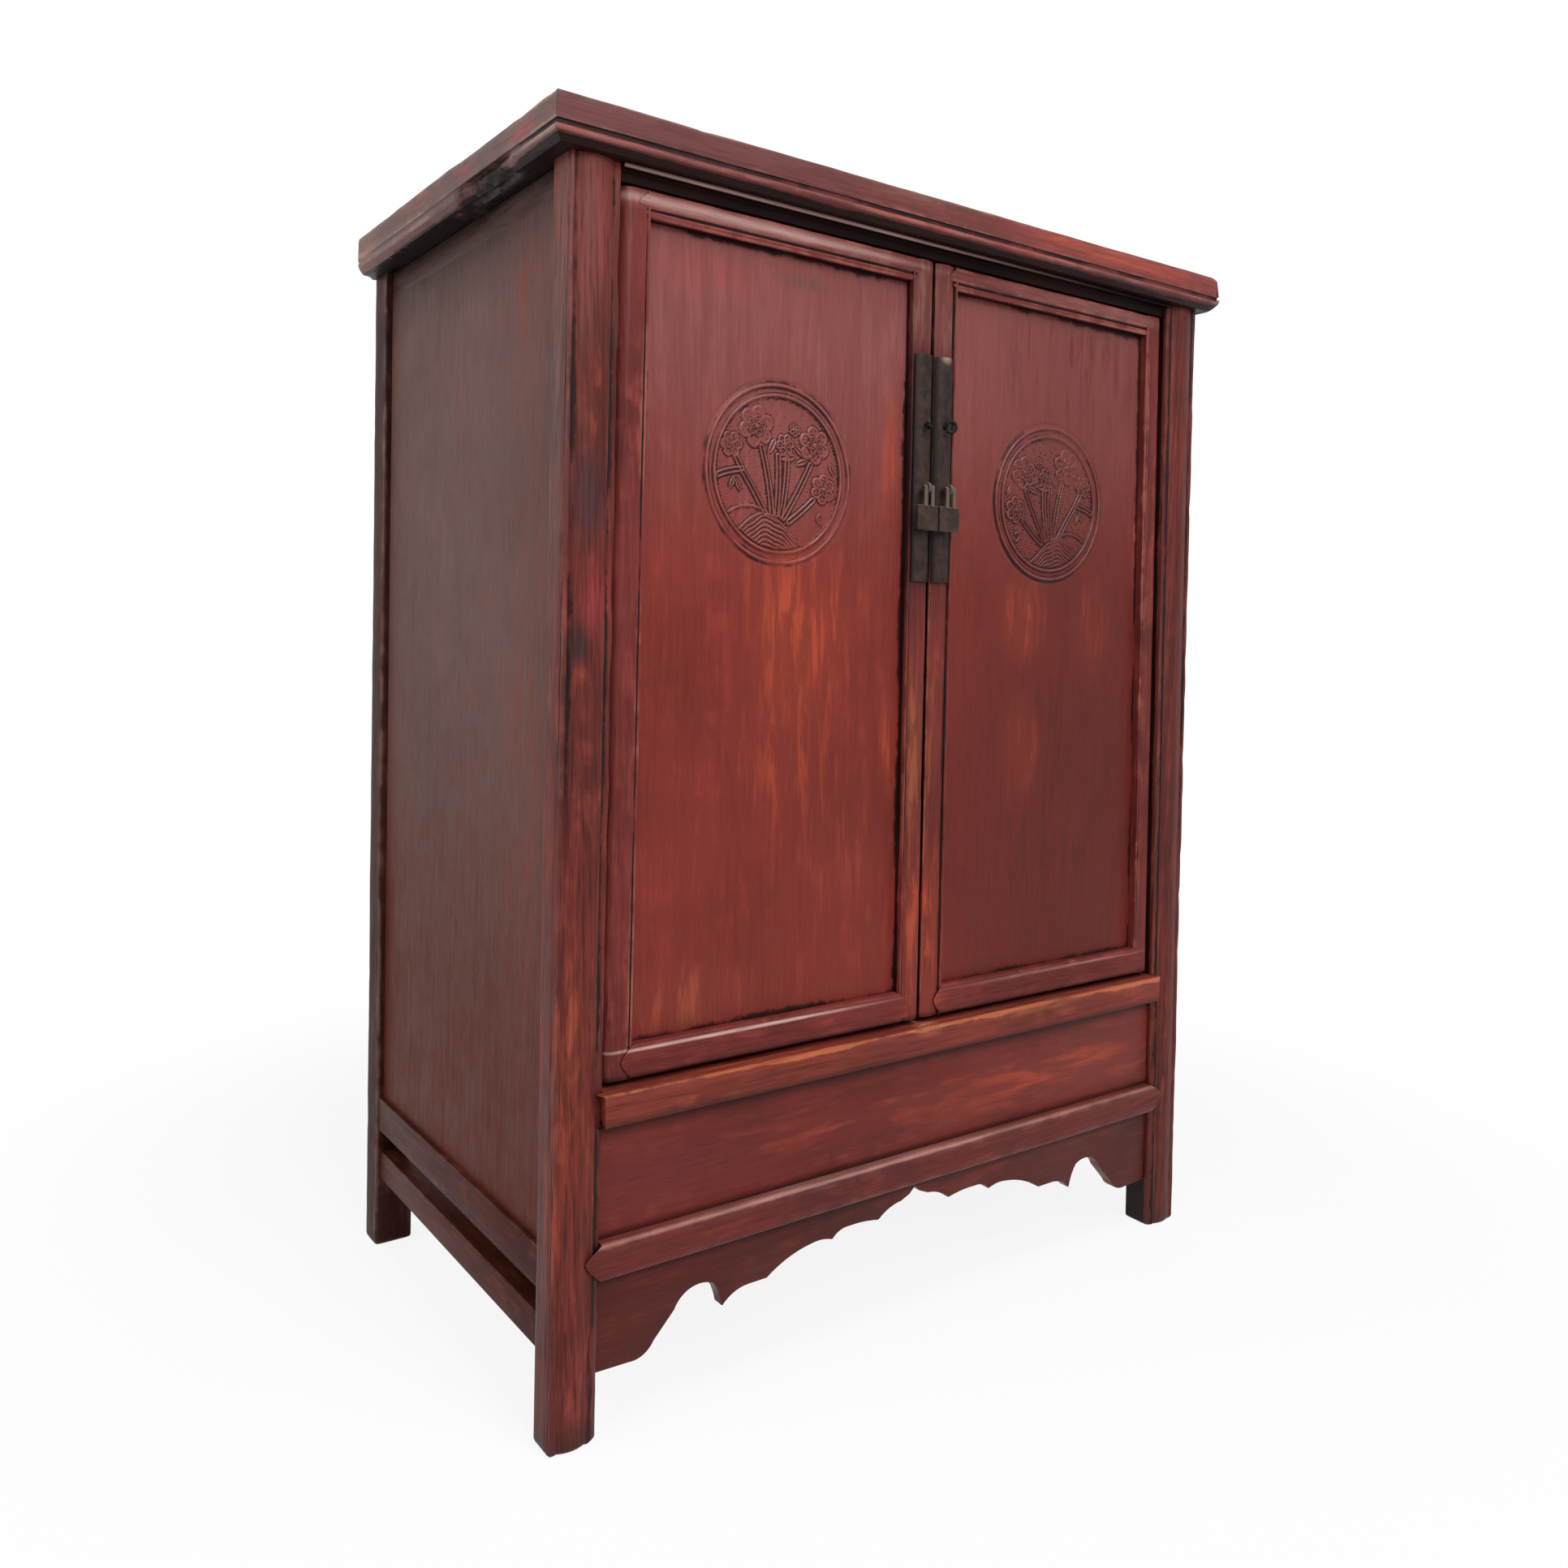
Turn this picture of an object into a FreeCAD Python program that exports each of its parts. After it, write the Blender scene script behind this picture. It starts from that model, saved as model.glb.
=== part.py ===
import FreeCAD, Part
import os
import re

import Sketcher

# Cabinet on splayed posts with two wood-pivot doors, a closed space under the floor
# and a mitred frame-and-panel top.
# Frame: +X to the viewer's right, +Y to the back, +Z up, in millimetres.
# The origin is on the floor at the centre of the four feet.
# The left half is drawn; its right-hand twin is a mirror of it about the middle plane.

NAME_OF_SHEET = "Sizes"

OVERALL = {
    "total_height": 1350,
    "foot_half_width": 507,
    "foot_half_depth": 303,
    "side_lean": 36.8,
    "front_lean": 20,
    "back_lean": 4,
    "fit_gap": 0.3,
    "cut_overrun": 5,
    "quarter_round_share": 0.2929,
}

TOP = {
    "top_side_overhang": 24.6,
    "top_front_overhang": 16.3,
    "top_back_overhang": 0.9,
    "top_thickness": 44,
    "top_member_width": 90,
    "top_tongue": 10,
    "top_board_thickness": 12,
    "top_board_drop": 4,
    "top_batten_width": 36,
    "top_batten_height": 20,
    "top_batten_from_middle": 200,
    "edge_slope": 3,
    "edge_band": 27,
    "edge_groove_depth": 4,
    "edge_groove_height": 3,
    "edge_bead_height": 9,
    "edge_bead_bulge": 3,
    "edge_bead_set": 2,
    "edge_undercut": 9,
}

POSTS = {
    "front_post_width": 57,
    "back_post_width": 52,
    "post_depth": 46,
    "post_crown": 3,
    "post_round": 4,
    "post_strip": 9,
    "post_bead": 5,
    "post_quirk": 1.5,
    "post_corner": 2.5,
    "post_back_round": 8,
}

RAILS = {
    "tenon_length": 24,
    "tenon_thickness": 10,
    "tenon_shoulder": 4,
    "tenon_set": 22,
    "tenon_side_set": 12,
    "head_height": 30,
    "head_front_height": 15,
    "head_lip_height": 4,
    "head_lip_recess": 1,
    "head_recess": 12,
    "pivot_hole_extra": 0.5,
    "sill_top": 379,
    "sill_height": 36,
    "sill_lap": 8,
    "sill_chamfer": 5,
    "sill_round": 3,
    "ledge_depth": 14,
    "ledge_height": 15,
    "lower_rail_top": 217,
    "lower_rail_height": 41,
    "rail_tip": 20,
    "rail_tip_rise": 4,
    "rail_tip_depth": 9,
    "rail_round": 7,
    "side_rail_top": 213,
    "side_rail_height": 45,
    "side_rail_set": 3,
    "side_rail_thickness": 30,
    "stretcher_top": 137,
    "stretcher_height": 39,
    "stretcher_set": 6,
    "stretcher_thickness": 26,
    "back_rail_recess": 10,
}

BOARDS = {
    "skirt_recess": 13,
    "skirt_thickness": 14,
    "apron_bottom": 69,
    "apron_corner_rise": 1.6,
    "apron_recess": 12,
    "apron_thickness": 18,
    "side_board_recess": 10,
    "side_board_thickness": 14,
    "side_seam_from_middle": 116,
    "back_board_recess": 14,
    "back_board_thickness": 12,
    "board_tongue": 6,
    "floor_drop": 4,
    "floor_thickness": 16,
    "lid_half_width": 120,
    "lid_play": 0.5,
    "finger_hole_radius": 13,
    "finger_hole_inset": 60,
    "bottom_board_top": 207,
    "bottom_board_thickness": 14,
    "shelf_top": 830,
    "shelf_thickness": 18,
    "shelf_set_back": 4,
    "cleat_height": 26,
    "cleat_thickness": 22,
}

DOORS = {
    "door_bottom": 385,
    "door_top_gap": 2,
    "door_recess": 9,
    "door_gap": 2.5,
    "door_thickness": 30,
    "meeting_gap": 2,
    "stile_width": 33,
    "stile_bead": 3,
    "stile_groove": 1,
    "stile_crown": 4,
    "door_top_rail": 27,
    "door_bottom_rail": 38,
    "door_tip": 14,
    "door_tip_depth": 8,
    "door_rail_round": 6,
    "door_tenon_length": 17,
    "door_tenon_thickness": 9,
    "door_tenon_set": 10,
    "door_panel_recess": 13,
    "door_panel_thickness": 8,
    "door_panel_tongue": 6,
    "door_batten_height": 34,
    "door_batten_from_rail": 190,
    "pivot_radius": 7,
    "pivot_play": 0.06,
    "pivot_root": 1,
    "pivot_top_length": 11,
    "pivot_bottom_length": 16,
}

MEDALLION = {
    "medallion_centre": 213,
    "medallion_below_door_top": 261,
    "medallion_radius": 100,
    "ring_width": 5,
    "ring_gap": 5,
    "relief_height": 2.5,
    "petal_radius": 6,
    "petal_circle_radius": 11.5,
    "flower_eye_radius": 4,
    "stem_width": 4,
    "mound_half_width": 45,
    "mound_height": 22,
    "mound_below_centre": 68,
}

IRON = {
    "plate_below_door_top": 107,
    "plate_length": 272,
    "plate_margin": 0.5,
    "plate_lift": 0.6,
    "plate_crown": 5,
    "plate_edge": 1,
    "plate_bulge_extra": 1,
    "upper_eye_below_plate_top": 81,
    "lower_eye_below_plate_top": 154,
    "eye_from_edge": 15,
    "eye_ring_radius": 4.5,
    "eye_wire_radius": 2.4,
    "eye_stem_radius": 2.2,
    "eye_stem_play": 0.1,
    "eye_clinch": 3,
    "pull_width": 31,
    "pull_below_eye": 20,
    "pull_height": 29,
    "pull_thickness": 4,
    "pull_pin_radius": 2.05,
    "pull_knuckle_radius": 3.6,
    "pull_knuckle_width": 5,
    "pull_knuckle_gap": 0.4,
}

SIZES = {**OVERALL, **TOP, **POSTS, **RAILS, **BOARDS, **DOORS, **MEDALLION, **IRON}

# Sizes that follow from the ones above; each is a formula in the sheet.
DERIVED = {
    "top_underside": "total_height - top_thickness",
    "side_slope": "side_lean / total_height",
    "front_slope": "front_lean / total_height",
    "back_slope": "back_lean / total_height",
    "top_half_width": "foot_half_width - side_slope * top_underside + top_side_overhang",
    "top_front_edge": "-foot_half_depth + front_slope * top_underside - top_front_overhang",
    "top_back_edge": "foot_half_depth - back_slope * top_underside + top_back_overhang",
    "top_inner_half_width": "top_half_width - top_member_width",
    "top_inner_front": "top_front_edge + top_member_width",
    "top_inner_back": "top_back_edge - top_member_width",
    "top_board_high": "total_height - top_board_drop",
    "top_board_low": "top_board_high - top_board_thickness",
    "post_set_back": "post_crown + post_round",
    "head_front_bottom": "top_underside - head_front_height",
    "head_bottom": "top_underside - head_height",
    "sill_bottom": "sill_top - sill_height",
    "sill_middle": "sill_top - sill_height / 2",
    "floor_top": "sill_top - floor_drop",
    "floor_bottom": "floor_top - floor_thickness",
    "lower_rail_bottom": "lower_rail_top - lower_rail_height",
    "lower_rail_middle": "lower_rail_top - lower_rail_height / 2",
    "lower_rail_front": "-foot_half_depth + front_slope * lower_rail_middle",
    "lower_rail_layer": "lower_rail_front + rail_tip_depth",
    "bottom_board_bottom": "bottom_board_top - bottom_board_thickness",
    "side_rail_bottom": "side_rail_top - side_rail_height",
    "stretcher_bottom": "stretcher_top - stretcher_height",
    "side_board_inner": "side_board_recess + side_board_thickness",
    "apron_front": "-foot_half_depth + front_slope * lower_rail_bottom + apron_recess",
    "apron_half_width": "foot_half_width - side_slope * apron_bottom - front_post_width",
    "apron_drop": "lower_rail_bottom - apron_bottom",
    "shelf_bottom": "shelf_top - shelf_thickness",
    "door_top": "head_front_bottom - door_top_gap",
    "door_height": "door_top - door_bottom",
    "door_panel_back": "door_panel_recess + door_panel_thickness",
    "door_front": "-foot_half_depth + front_slope * door_bottom + door_recess",
    "door_half_opening": "foot_half_width - side_slope * door_bottom - front_post_width - door_gap",
    "tilt_angle": "-atan(front_slope)",
    "side_lean_angle": "atan(side_slope)",
    "tilt_cosine": "1 / sqrt(1 + front_slope^2)",
    "stile_edge": "-meeting_gap - stile_width",
    "hanging_stile_inner": "-door_half_opening + stile_width",
    "top_rail_bottom": "door_height - door_top_rail",
    "tenon_panel_shoulder": "door_panel_tongue + fit_gap",
    "pivot_set": "door_thickness / 2",
    "pivot_foot_level": "door_bottom - pivot_set * front_slope * tilt_cosine",
    "medallion_height": "door_height - medallion_below_door_top",
    "ring_step": "ring_width + ring_gap",
    "eye_across": "-meeting_gap - eye_from_edge",
    "plate_top": "door_height - plate_below_door_top",
    "upper_eye_height": "plate_top - upper_eye_below_plate_top",
    "lower_eye_height": "plate_top - lower_eye_below_plate_top",
    "pull_top": "lower_eye_height - pull_below_eye",
    "plate_left": "stile_edge + stile_bead + stile_groove + plate_margin",
    "plate_right": "-meeting_gap - plate_margin",
    "plate_chord": "stile_crown - plate_lift",
    "plate_peak": "plate_chord - plate_edge - plate_crown - plate_bulge_extra",
    "eye_depth": "plate_peak - eye_ring_radius - eye_wire_radius - fit_gap",
    "pull_half_gap": "eye_wire_radius + pull_knuckle_gap",
}

# Lower edge of the apron, from its foot beside a post to the middle.
# Each row is the share of the half width, the share of the apron's drop below its top,
# and the outward bulge of the edge to the next row as a share of the drop.
APRON_EDGE_SHARES = (
    (0.905, 1.0, 0.05),
    (0.838, 0.86, 0.0),
    (0.78, 0.6, -0.11),
    (0.668, 0.45, -0.02),
    (0.64, 0.74, -0.04),
    (0.56, 0.59, 0.0),
    (0.503, 0.59, -0.04),
    (0.358, 0.364, -0.02),
    (0.29, 0.395, -0.03),
    (0.235, 0.3, -0.015),
    (0.13, 0.34, -0.03),
    (0.049, 0.196, 0.0),
    (0.018, 0.14, 0.0),
    (0.0, 0.065, 0.0),
)

# Flower heads and stem feet of the medallion: across and up from its centre, as shares of its radius.
FLOWER_SHARES = ((-0.56, 0.04), (-0.3, 0.5), (0.04, 0.27), (0.4, 0.42), (0.56, -0.12))
STEM_FOOT_SHARES = ((-0.16, -0.4), (-0.09, -0.39), (-0.01, -0.39), (0.07, -0.4), (0.15, -0.42))
STEM_TOP_GAP_SHARE = 0.2
PETALS = 5
FULL_TURN = 360
QUARTER_TURN = 90
ITEMS_WITH_BULGE = 3

# Numbers that a sketch gives to its origin, and to the first end and the centre of a curve.
ORIGIN_GEOMETRY = -1
FIRST_END = 1
SECOND_END = 2
CENTRE_POINT = 3

CROSSWISE_AXIS = FreeCAD.Vector(1, 0, 0)
DEPTH_AXIS = FreeCAD.Vector(0, 1, 0)
UPRIGHT_AXIS = FreeCAD.Vector(0, 0, 1)


doc = FreeCAD.newDocument("cabinet")
sheet = doc.addObject("Spreadsheet::Sheet", NAME_OF_SHEET)
parts = []


def fill_sheet():
    """Write the driving sizes as plain numbers and the derived ones as formulas."""
    row = 0
    for name, size in SIZES.items():
        row += 1
        sheet.set("A%d" % row, name)
        sheet.set("B%d" % row, str(size))
        sheet.setAlias("B%d" % row, name)
    for name, formula in DERIVED.items():
        row += 1
        sheet.set("A%d" % row, name)
        sheet.set("B%d" % row, "=" + formula)
        sheet.setAlias("B%d" % row, name)
    doc.recompute()


def bind(formula):
    """A formula in plain size names, with each name pointed at the sheet."""
    return re.sub(r"[a-z][a-z_]+", point_at_sheet, formula)


def point_at_sheet(found):
    """One word of a formula, pointed at the sheet where it is the name of a size."""
    word = found.group(0)
    if word in SIZES or word in DERIVED:
        return NAME_OF_SHEET + "." + word
    return word


def number(formula):
    """The present value of a formula in size names."""
    return float(sheet.evalExpression(bind(formula)))


def outer(level):
    """Outer face of the posts at a level, measured from the middle plane."""
    return "(foot_half_width - side_slope * (%s))" % level


def front(level):
    """Most forward line of the front posts at a level."""
    return "(-foot_half_depth + front_slope * (%s))" % level


def back(level):
    """Back face of the back posts at a level."""
    return "(foot_half_depth - back_slope * (%s))" % level


def front_inner(level):
    """Inner face of the front posts at a level, from the middle plane."""
    return "(%s - front_post_width)" % outer(level)


def back_inner(level):
    """Inner face of the back posts at a level, from the middle plane."""
    return "(%s - back_post_width)" % outer(level)


def new_body(name):
    """An empty body whose label is the name of its file."""
    body = doc.addObject("PartDesign::Body", name)
    body.Label = name
    parts.append(body)
    return body


def mirror_right(body, name):
    """The right-hand twin of a left-hand piece."""
    twin = doc.addObject("Part::Mirroring", name)
    twin.Source = body
    twin.Normal = CROSSWISE_AXIS
    twin.Label = name
    parts.append(twin)
    return twin


def turned_about(axis, angle):
    """A placement at the origin that is turned about an axis."""
    return FreeCAD.Placement(FreeCAD.Vector(), FreeCAD.Rotation(axis, angle))


def board(body, name, low, high, cut=False):
    """A straight board between two level rectangles, each (x0, x1, y0, y1, z)."""
    kind = "PartDesign::SubtractiveWedge" if cut else "PartDesign::AdditiveWedge"
    wedge = body.newObject(kind, name)
    cells = {
        "Xmin": low[0], "Xmax": low[1], "Zmin": "-(%s)" % low[3], "Zmax": "-(%s)" % low[2], "Ymin": low[4],
        "X2min": high[0], "X2max": high[1], "Z2min": "-(%s)" % high[3], "Z2max": "-(%s)" % high[2],
        "Ymax": high[4],
    }
    for cell, formula in cells.items():
        wedge.setExpression(cell, bind(formula))
    wedge.Placement = turned_about(CROSSWISE_AXIS, QUARTER_TURN)
    doc.recompute()
    return wedge


def block(body, name, x_span, y_span, z_span, cut=False):
    """An upright block between pairs of formulas along each axis."""
    kind = "PartDesign::SubtractiveBox" if cut else "PartDesign::AdditiveBox"
    box = body.newObject(kind, name)
    for size, axis, span in (("Length", "x", x_span), ("Width", "y", y_span), ("Height", "z", z_span)):
        box.setExpression(size, bind("(%s) - (%s)" % (span[1], span[0])))
        box.setExpression("Placement.Base." + axis, bind(span[0]))
    doc.recompute()
    return box


def origin_plane(body, role):
    """One of a body's own origin planes."""
    return [plane for plane in body.Origin.OriginFeatures if plane.Role == role][0]


def new_sketch(body, name, role, offset):
    """An empty sketch on an origin plane, moved along its normal."""
    sketch = body.newObject("Sketcher::SketchObject", name)
    sketch.AttachmentSupport = [(origin_plane(body, role), "")]
    sketch.MapMode = "FlatFace"
    sketch.setExpression("AttachmentOffset.Base.z", bind(offset))
    return sketch


def pin_point(sketch, geometry, end, across, along):
    """Hold one end of a line or arc at a place given by two formulas."""
    for kind, formula in (("DistanceX", across), ("DistanceY", along)):
        index = sketch.addConstraint(Sketcher.Constraint(
            kind, ORIGIN_GEOMETRY, FIRST_END, geometry, end, number(formula)))
        sketch.setExpression("Constraints[%d]" % index, bind(formula))


def add_outline(sketch, points):
    """Close an outline through points of (across, along[, bulge]).

    The outline runs counter-clockwise. A bulge makes an arc to the next point, outwards
    where it is above zero.
    """
    first = len(sketch.Geometry)
    count = len(points)
    ends = []
    for index, point in enumerate(points):
        following = points[(index + 1) % count]
        start = FreeCAD.Vector(number(point[0]), number(point[1]), 0)
        stop = FreeCAD.Vector(number(following[0]), number(following[1]), 0)
        if len(point) < ITEMS_WITH_BULGE:
            sketch.addGeometry(Part.LineSegment(start, stop), False)
            ends.append((FIRST_END, SECOND_END))
            continue
        chord = stop - start
        bulge = number(point[2])
        outwards = FreeCAD.Vector(chord.y, -chord.x, 0).normalize()
        middle = (start + stop) / 2 + outwards * bulge
        if bulge > 0:
            sketch.addGeometry(Part.Arc(start, middle, stop), False)
            ends.append((FIRST_END, SECOND_END))
        else:
            sketch.addGeometry(Part.Arc(stop, middle, start), False)
            ends.append((SECOND_END, FIRST_END))
    for index in range(count):
        following = (index + 1) % count
        sketch.addConstraint(Sketcher.Constraint(
            "Coincident", first + index, ends[index][1], first + following, ends[following][0]))
    for index, point in enumerate(points):
        pin_point(sketch, first + index, ends[index][0], point[0], point[1])
        if len(point) < ITEMS_WITH_BULGE:
            continue
        following = points[(index + 1) % count]
        run = (following[0], point[0], following[1], point[1])
        chord_squared = "((%s) - (%s))^2 + ((%s) - (%s))^2" % run
        radius = "(%s) / (8 * abs(%s)) + abs(%s) / 2" % (chord_squared, point[2], point[2])
        held = sketch.addConstraint(Sketcher.Constraint("Radius", first + index, number(radius)))
        sketch.setExpression("Constraints[%d]" % held, bind(radius))


def add_circle(sketch, across, along, radius):
    """A circle with its centre and radius held by formulas."""
    centre = FreeCAD.Vector(number(across), number(along), 0)
    index = sketch.addGeometry(Part.Circle(centre, UPRIGHT_AXIS, number(radius)), False)
    pin_point(sketch, index, CENTRE_POINT, across, along)
    held = sketch.addConstraint(Sketcher.Constraint("Radius", index, number(radius)))
    sketch.setExpression("Constraints[%d]" % held, bind(radius))


def pad(body, name, sketch, length, lean=None):
    """Pad a sketch along its normal, or along a leaning line given as slopes in x and y."""
    feature = body.newObject("PartDesign::Pad", name)
    feature.Profile = sketch
    feature.setExpression("Length", bind(length))
    if lean:
        lean_along(feature, lean, 1)
    doc.recompute()
    return feature


def lean_along(feature, lean, up):
    """Send a pad or pocket along a line that leans by two slopes per unit of height."""
    feature.UseCustomVector = True
    feature.Direction = FreeCAD.Vector(number(lean[0]), number(lean[1]), up)
    feature.setExpression("Direction.x", bind(lean[0]))
    feature.setExpression("Direction.y", bind(lean[1]))


def pocket(body, name, sketch, depth, lean=None, up=1):
    """Cut a sketch into a body and see that material went.

    The cut goes against the sketch's normal, or along a leaning line up or down.
    """
    before = body.Shape.Volume
    feature = body.newObject("PartDesign::Pocket", name)
    feature.Profile = sketch
    feature.setExpression("Length", bind(depth))
    if lean:
        lean_along(feature, lean, up)
    doc.recompute()
    if body.Shape.Volume >= before:
        raise RuntimeError("%s of %s cuts nothing" % (name, body.Label))
    return feature


def round_edges(body, name, radius, chooser):
    """Fillet the edges of the present solid that a chooser picks."""
    doc.recompute()
    base = body.Tip
    chosen = ["Edge%d" % (index + 1) for index, edge in enumerate(base.Shape.Edges) if chooser(edge)]
    fillet = body.newObject("PartDesign::Fillet", name)
    fillet.Base = (base, chosen)
    fillet.setExpression("Radius", bind(radius))
    doc.recompute()
    return fillet


# Tenons and their mortises

FRONT_RAILS = {
    "head": ("head_front_bottom", "top_underside"),
    "sill": ("sill_bottom", "sill_top"),
    "lower": ("lower_rail_bottom", "lower_rail_top"),
}
BACK_RAILS = {
    "head": ("head_bottom", "top_underside"),
    "middle": ("sill_bottom", "sill_top"),
    "lower": ("lower_rail_bottom", "lower_rail_top"),
}
SIDE_RAILS = {
    "head": ("head_bottom", "top_underside"),
    "rail": ("side_rail_bottom", "side_rail_top"),
    "stretcher": ("stretcher_bottom", "stretcher_top"),
}
BACK_BOARDS = {
    "upper": ("sill_top", "head_bottom"),
    "lower": ("lower_rail_top", "sill_bottom"),
}


def middle_of(levels):
    """Level half way between two levels."""
    return "((%s) + (%s)) / 2" % levels


def tenon_levels(levels):
    """Bottom and top of a tenon inside a rail."""
    return levels[0] + " + tenon_shoulder", levels[1] + " - tenon_shoulder"


def front_tenon(levels):
    """The core that runs through a front rail and into both front posts."""
    reach = front_inner(middle_of(levels)) + " + tenon_length"
    fore = front(middle_of(levels)) + " + tenon_set"
    return ("-(%s)" % reach, reach), (fore, fore + " + tenon_thickness"), tenon_levels(levels)


def back_tenon(levels):
    """The core that runs through a back rail and into both back posts."""
    reach = back_inner(middle_of(levels)) + " + tenon_length"
    rear = back(middle_of(levels)) + " - tenon_set"
    return ("-(%s)" % reach, reach), (rear + " - tenon_thickness", rear), tenon_levels(levels)


def side_tenon(levels):
    """The core that runs through a left side rail and into the front and the back post."""
    face = "-%s + tenon_side_set" % outer(middle_of(levels))
    fore = front(middle_of(levels)) + " + post_depth - tenon_length"
    rear = back(middle_of(levels)) + " - post_depth + tenon_length"
    return (face, face + " + tenon_thickness"), (fore, rear), tenon_levels(levels)


# Posts

def front_post_outline():
    """Plan of the left front post at the floor: beaded corner, rounded face, inner strip."""
    left = "-foot_half_width"
    face = "-foot_half_depth + post_crown"
    strip = "-foot_half_depth + post_set_back"
    right = "-foot_half_width + front_post_width"
    rear = "-foot_half_depth + post_depth"
    groove = left + " + post_bead"
    turn = right + " - post_strip - post_round"
    return [
        (left + " + post_back_round", rear, "post_back_round * quarter_round_share"),
        (left, rear + " - post_back_round"),
        (left, face + " + post_bead + 2 * post_quirk"),
        (left + " + post_quirk", face + " + post_bead + post_quirk"),
        (left, face + " + post_bead"),
        (left, face + " + post_corner", "post_corner * quarter_round_share"),
        (left + " + post_corner", face),
        (groove, face),
        (groove + " + post_quirk", face + " + post_quirk"),
        (groove + " + 2 * post_quirk", face, "post_crown"),
        (turn, face, "post_round * quarter_round_share"),
        (turn + " + post_round", strip),
        (right + " - post_quirk", strip),
        (right, strip + " + post_quirk"),
        (right, rear),
    ]


def back_post_outline():
    """Plan of the left back post at the floor, with its two outer corners rounded."""
    left = "-foot_half_width"
    right = "-foot_half_width + back_post_width"
    rear = "foot_half_depth"
    fore = "foot_half_depth - post_depth"
    return [
        (left + " + post_back_round", rear, "post_back_round * quarter_round_share"),
        (left, rear + " - post_back_round"),
        (left, fore + " + post_corner", "post_corner * quarter_round_share"),
        (left + " + post_corner", fore),
        (right, fore),
        (right, rear),
    ]


def side_board_section(level, fore, rear):
    """Level section of a left side board between two depths."""
    face = "-%s + side_board_recess" % outer(level)
    return face, face + " + side_board_thickness", fore, rear, level


def back_board_section(level, left, right):
    """Level section of a back board between two places across."""
    face = back(level) + " - back_board_recess"
    return left, right, face + " - back_board_thickness", face, level


def rail_face_outline():
    """Front view of the lower front rail with its two pointed tips."""
    inner = front_inner("lower_rail_middle")
    low, high = FRONT_RAILS["lower"]
    return pointed_outline("-" + inner, inner, low, high, "rail_tip", "rail_tip_rise")


def pointed_outline(left, right, low, high, tip, rise):
    """A flat bar seen from the front with a pointed tip at each end."""
    middle = "%s + %s" % (middle_of((low, high)), rise)
    return [
        (left, low), (right, low), ("%s + %s" % (right, tip), middle),
        (right, high), (left, high), ("%s - %s" % (left, tip), middle),
    ]


def build_front_post():
    """Left front post, leaning inwards and back as it rises."""
    body = new_body("post_front_left")
    plan = new_sketch(body, "plan", "XY_Plane", "0")
    add_outline(plan, front_post_outline())
    pad(body, "shaft", plan, "top_underside", ("side_slope", "front_slope"))
    for name, levels in FRONT_RAILS.items():
        block(body, "mortise_" + name, *front_tenon(levels), cut=True)
    for name, levels in SIDE_RAILS.items():
        block(body, "side_mortise_" + name, *side_tenon(levels), cut=True)
    sections = []
    for level in ("side_rail_top", "head_bottom"):
        rear = front(level) + " + post_depth"
        sections.append(side_board_section(level, rear + " - board_tongue", rear + " + cut_overrun"))
    board(body, "side_groove", *sections, cut=True)
    notch = new_sketch(body, "tip_notch_outline", "XZ_Plane", "foot_half_depth + cut_overrun")
    add_outline(notch, rail_face_outline())
    pocket(body, "tip_notch", notch, "lower_rail_layer + foot_half_depth + cut_overrun")
    mirror_right(body, "post_front_right")


def build_back_post():
    """Left back post, grooved for the side boards and the back boards."""
    body = new_body("post_back_left")
    plan = new_sketch(body, "plan", "XY_Plane", "0")
    add_outline(plan, back_post_outline())
    pad(body, "shaft", plan, "top_underside", ("side_slope", "-back_slope"))
    for name, levels in BACK_RAILS.items():
        block(body, "mortise_" + name, *back_tenon(levels), cut=True)
    for name, levels in SIDE_RAILS.items():
        block(body, "side_mortise_" + name, *side_tenon(levels), cut=True)
    sections = []
    for level in ("side_rail_top", "head_bottom"):
        fore = back(level) + " - post_depth"
        sections.append(side_board_section(level, fore + " - cut_overrun", fore + " + board_tongue"))
    board(body, "side_groove", *sections, cut=True)
    for name, levels in BACK_BOARDS.items():
        sections = []
        for level in levels:
            inner = "-" + back_inner(level)
            sections.append(back_board_section(level, inner + " - board_tongue", inner + " + cut_overrun"))
        board(body, name + "_back_groove", *sections, cut=True)
    mirror_right(body, "post_back_right")


# Top

def edge_outline(edge):
    """Section of a moulded top member whose outer edge faces the negative side."""
    high = "total_height"
    band = "total_height - edge_band"
    bead_high = band + " - edge_groove_height"
    bead_low = bead_high + " - edge_bead_height"
    inner = edge + " + top_member_width"
    return [
        (inner, high),
        (edge + " + edge_slope", high),
        (edge, band),
        (edge + " + edge_groove_depth", band),
        (edge + " + edge_groove_depth", bead_high),
        (edge + " + edge_bead_set", bead_high, "edge_bead_bulge"),
        (edge + " + edge_bead_set", bead_low),
        (edge + " + edge_undercut", "top_underside"),
        (inner, "top_underside"),
        (inner, "top_board_low"),
        (inner + " - top_tongue", "top_board_low"),
        (inner + " - top_tongue", "top_board_high"),
        (inner, "top_board_high"),
    ]


def cut_mitre(body, name, points):
    """Cut the waste beside a mitre, given in plan."""
    plan = new_sketch(body, name + "_outline", "XY_Plane", "total_height + cut_overrun")
    add_outline(plan, points)
    pocket(body, name, plan, "top_thickness + 2 * cut_overrun")


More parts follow.
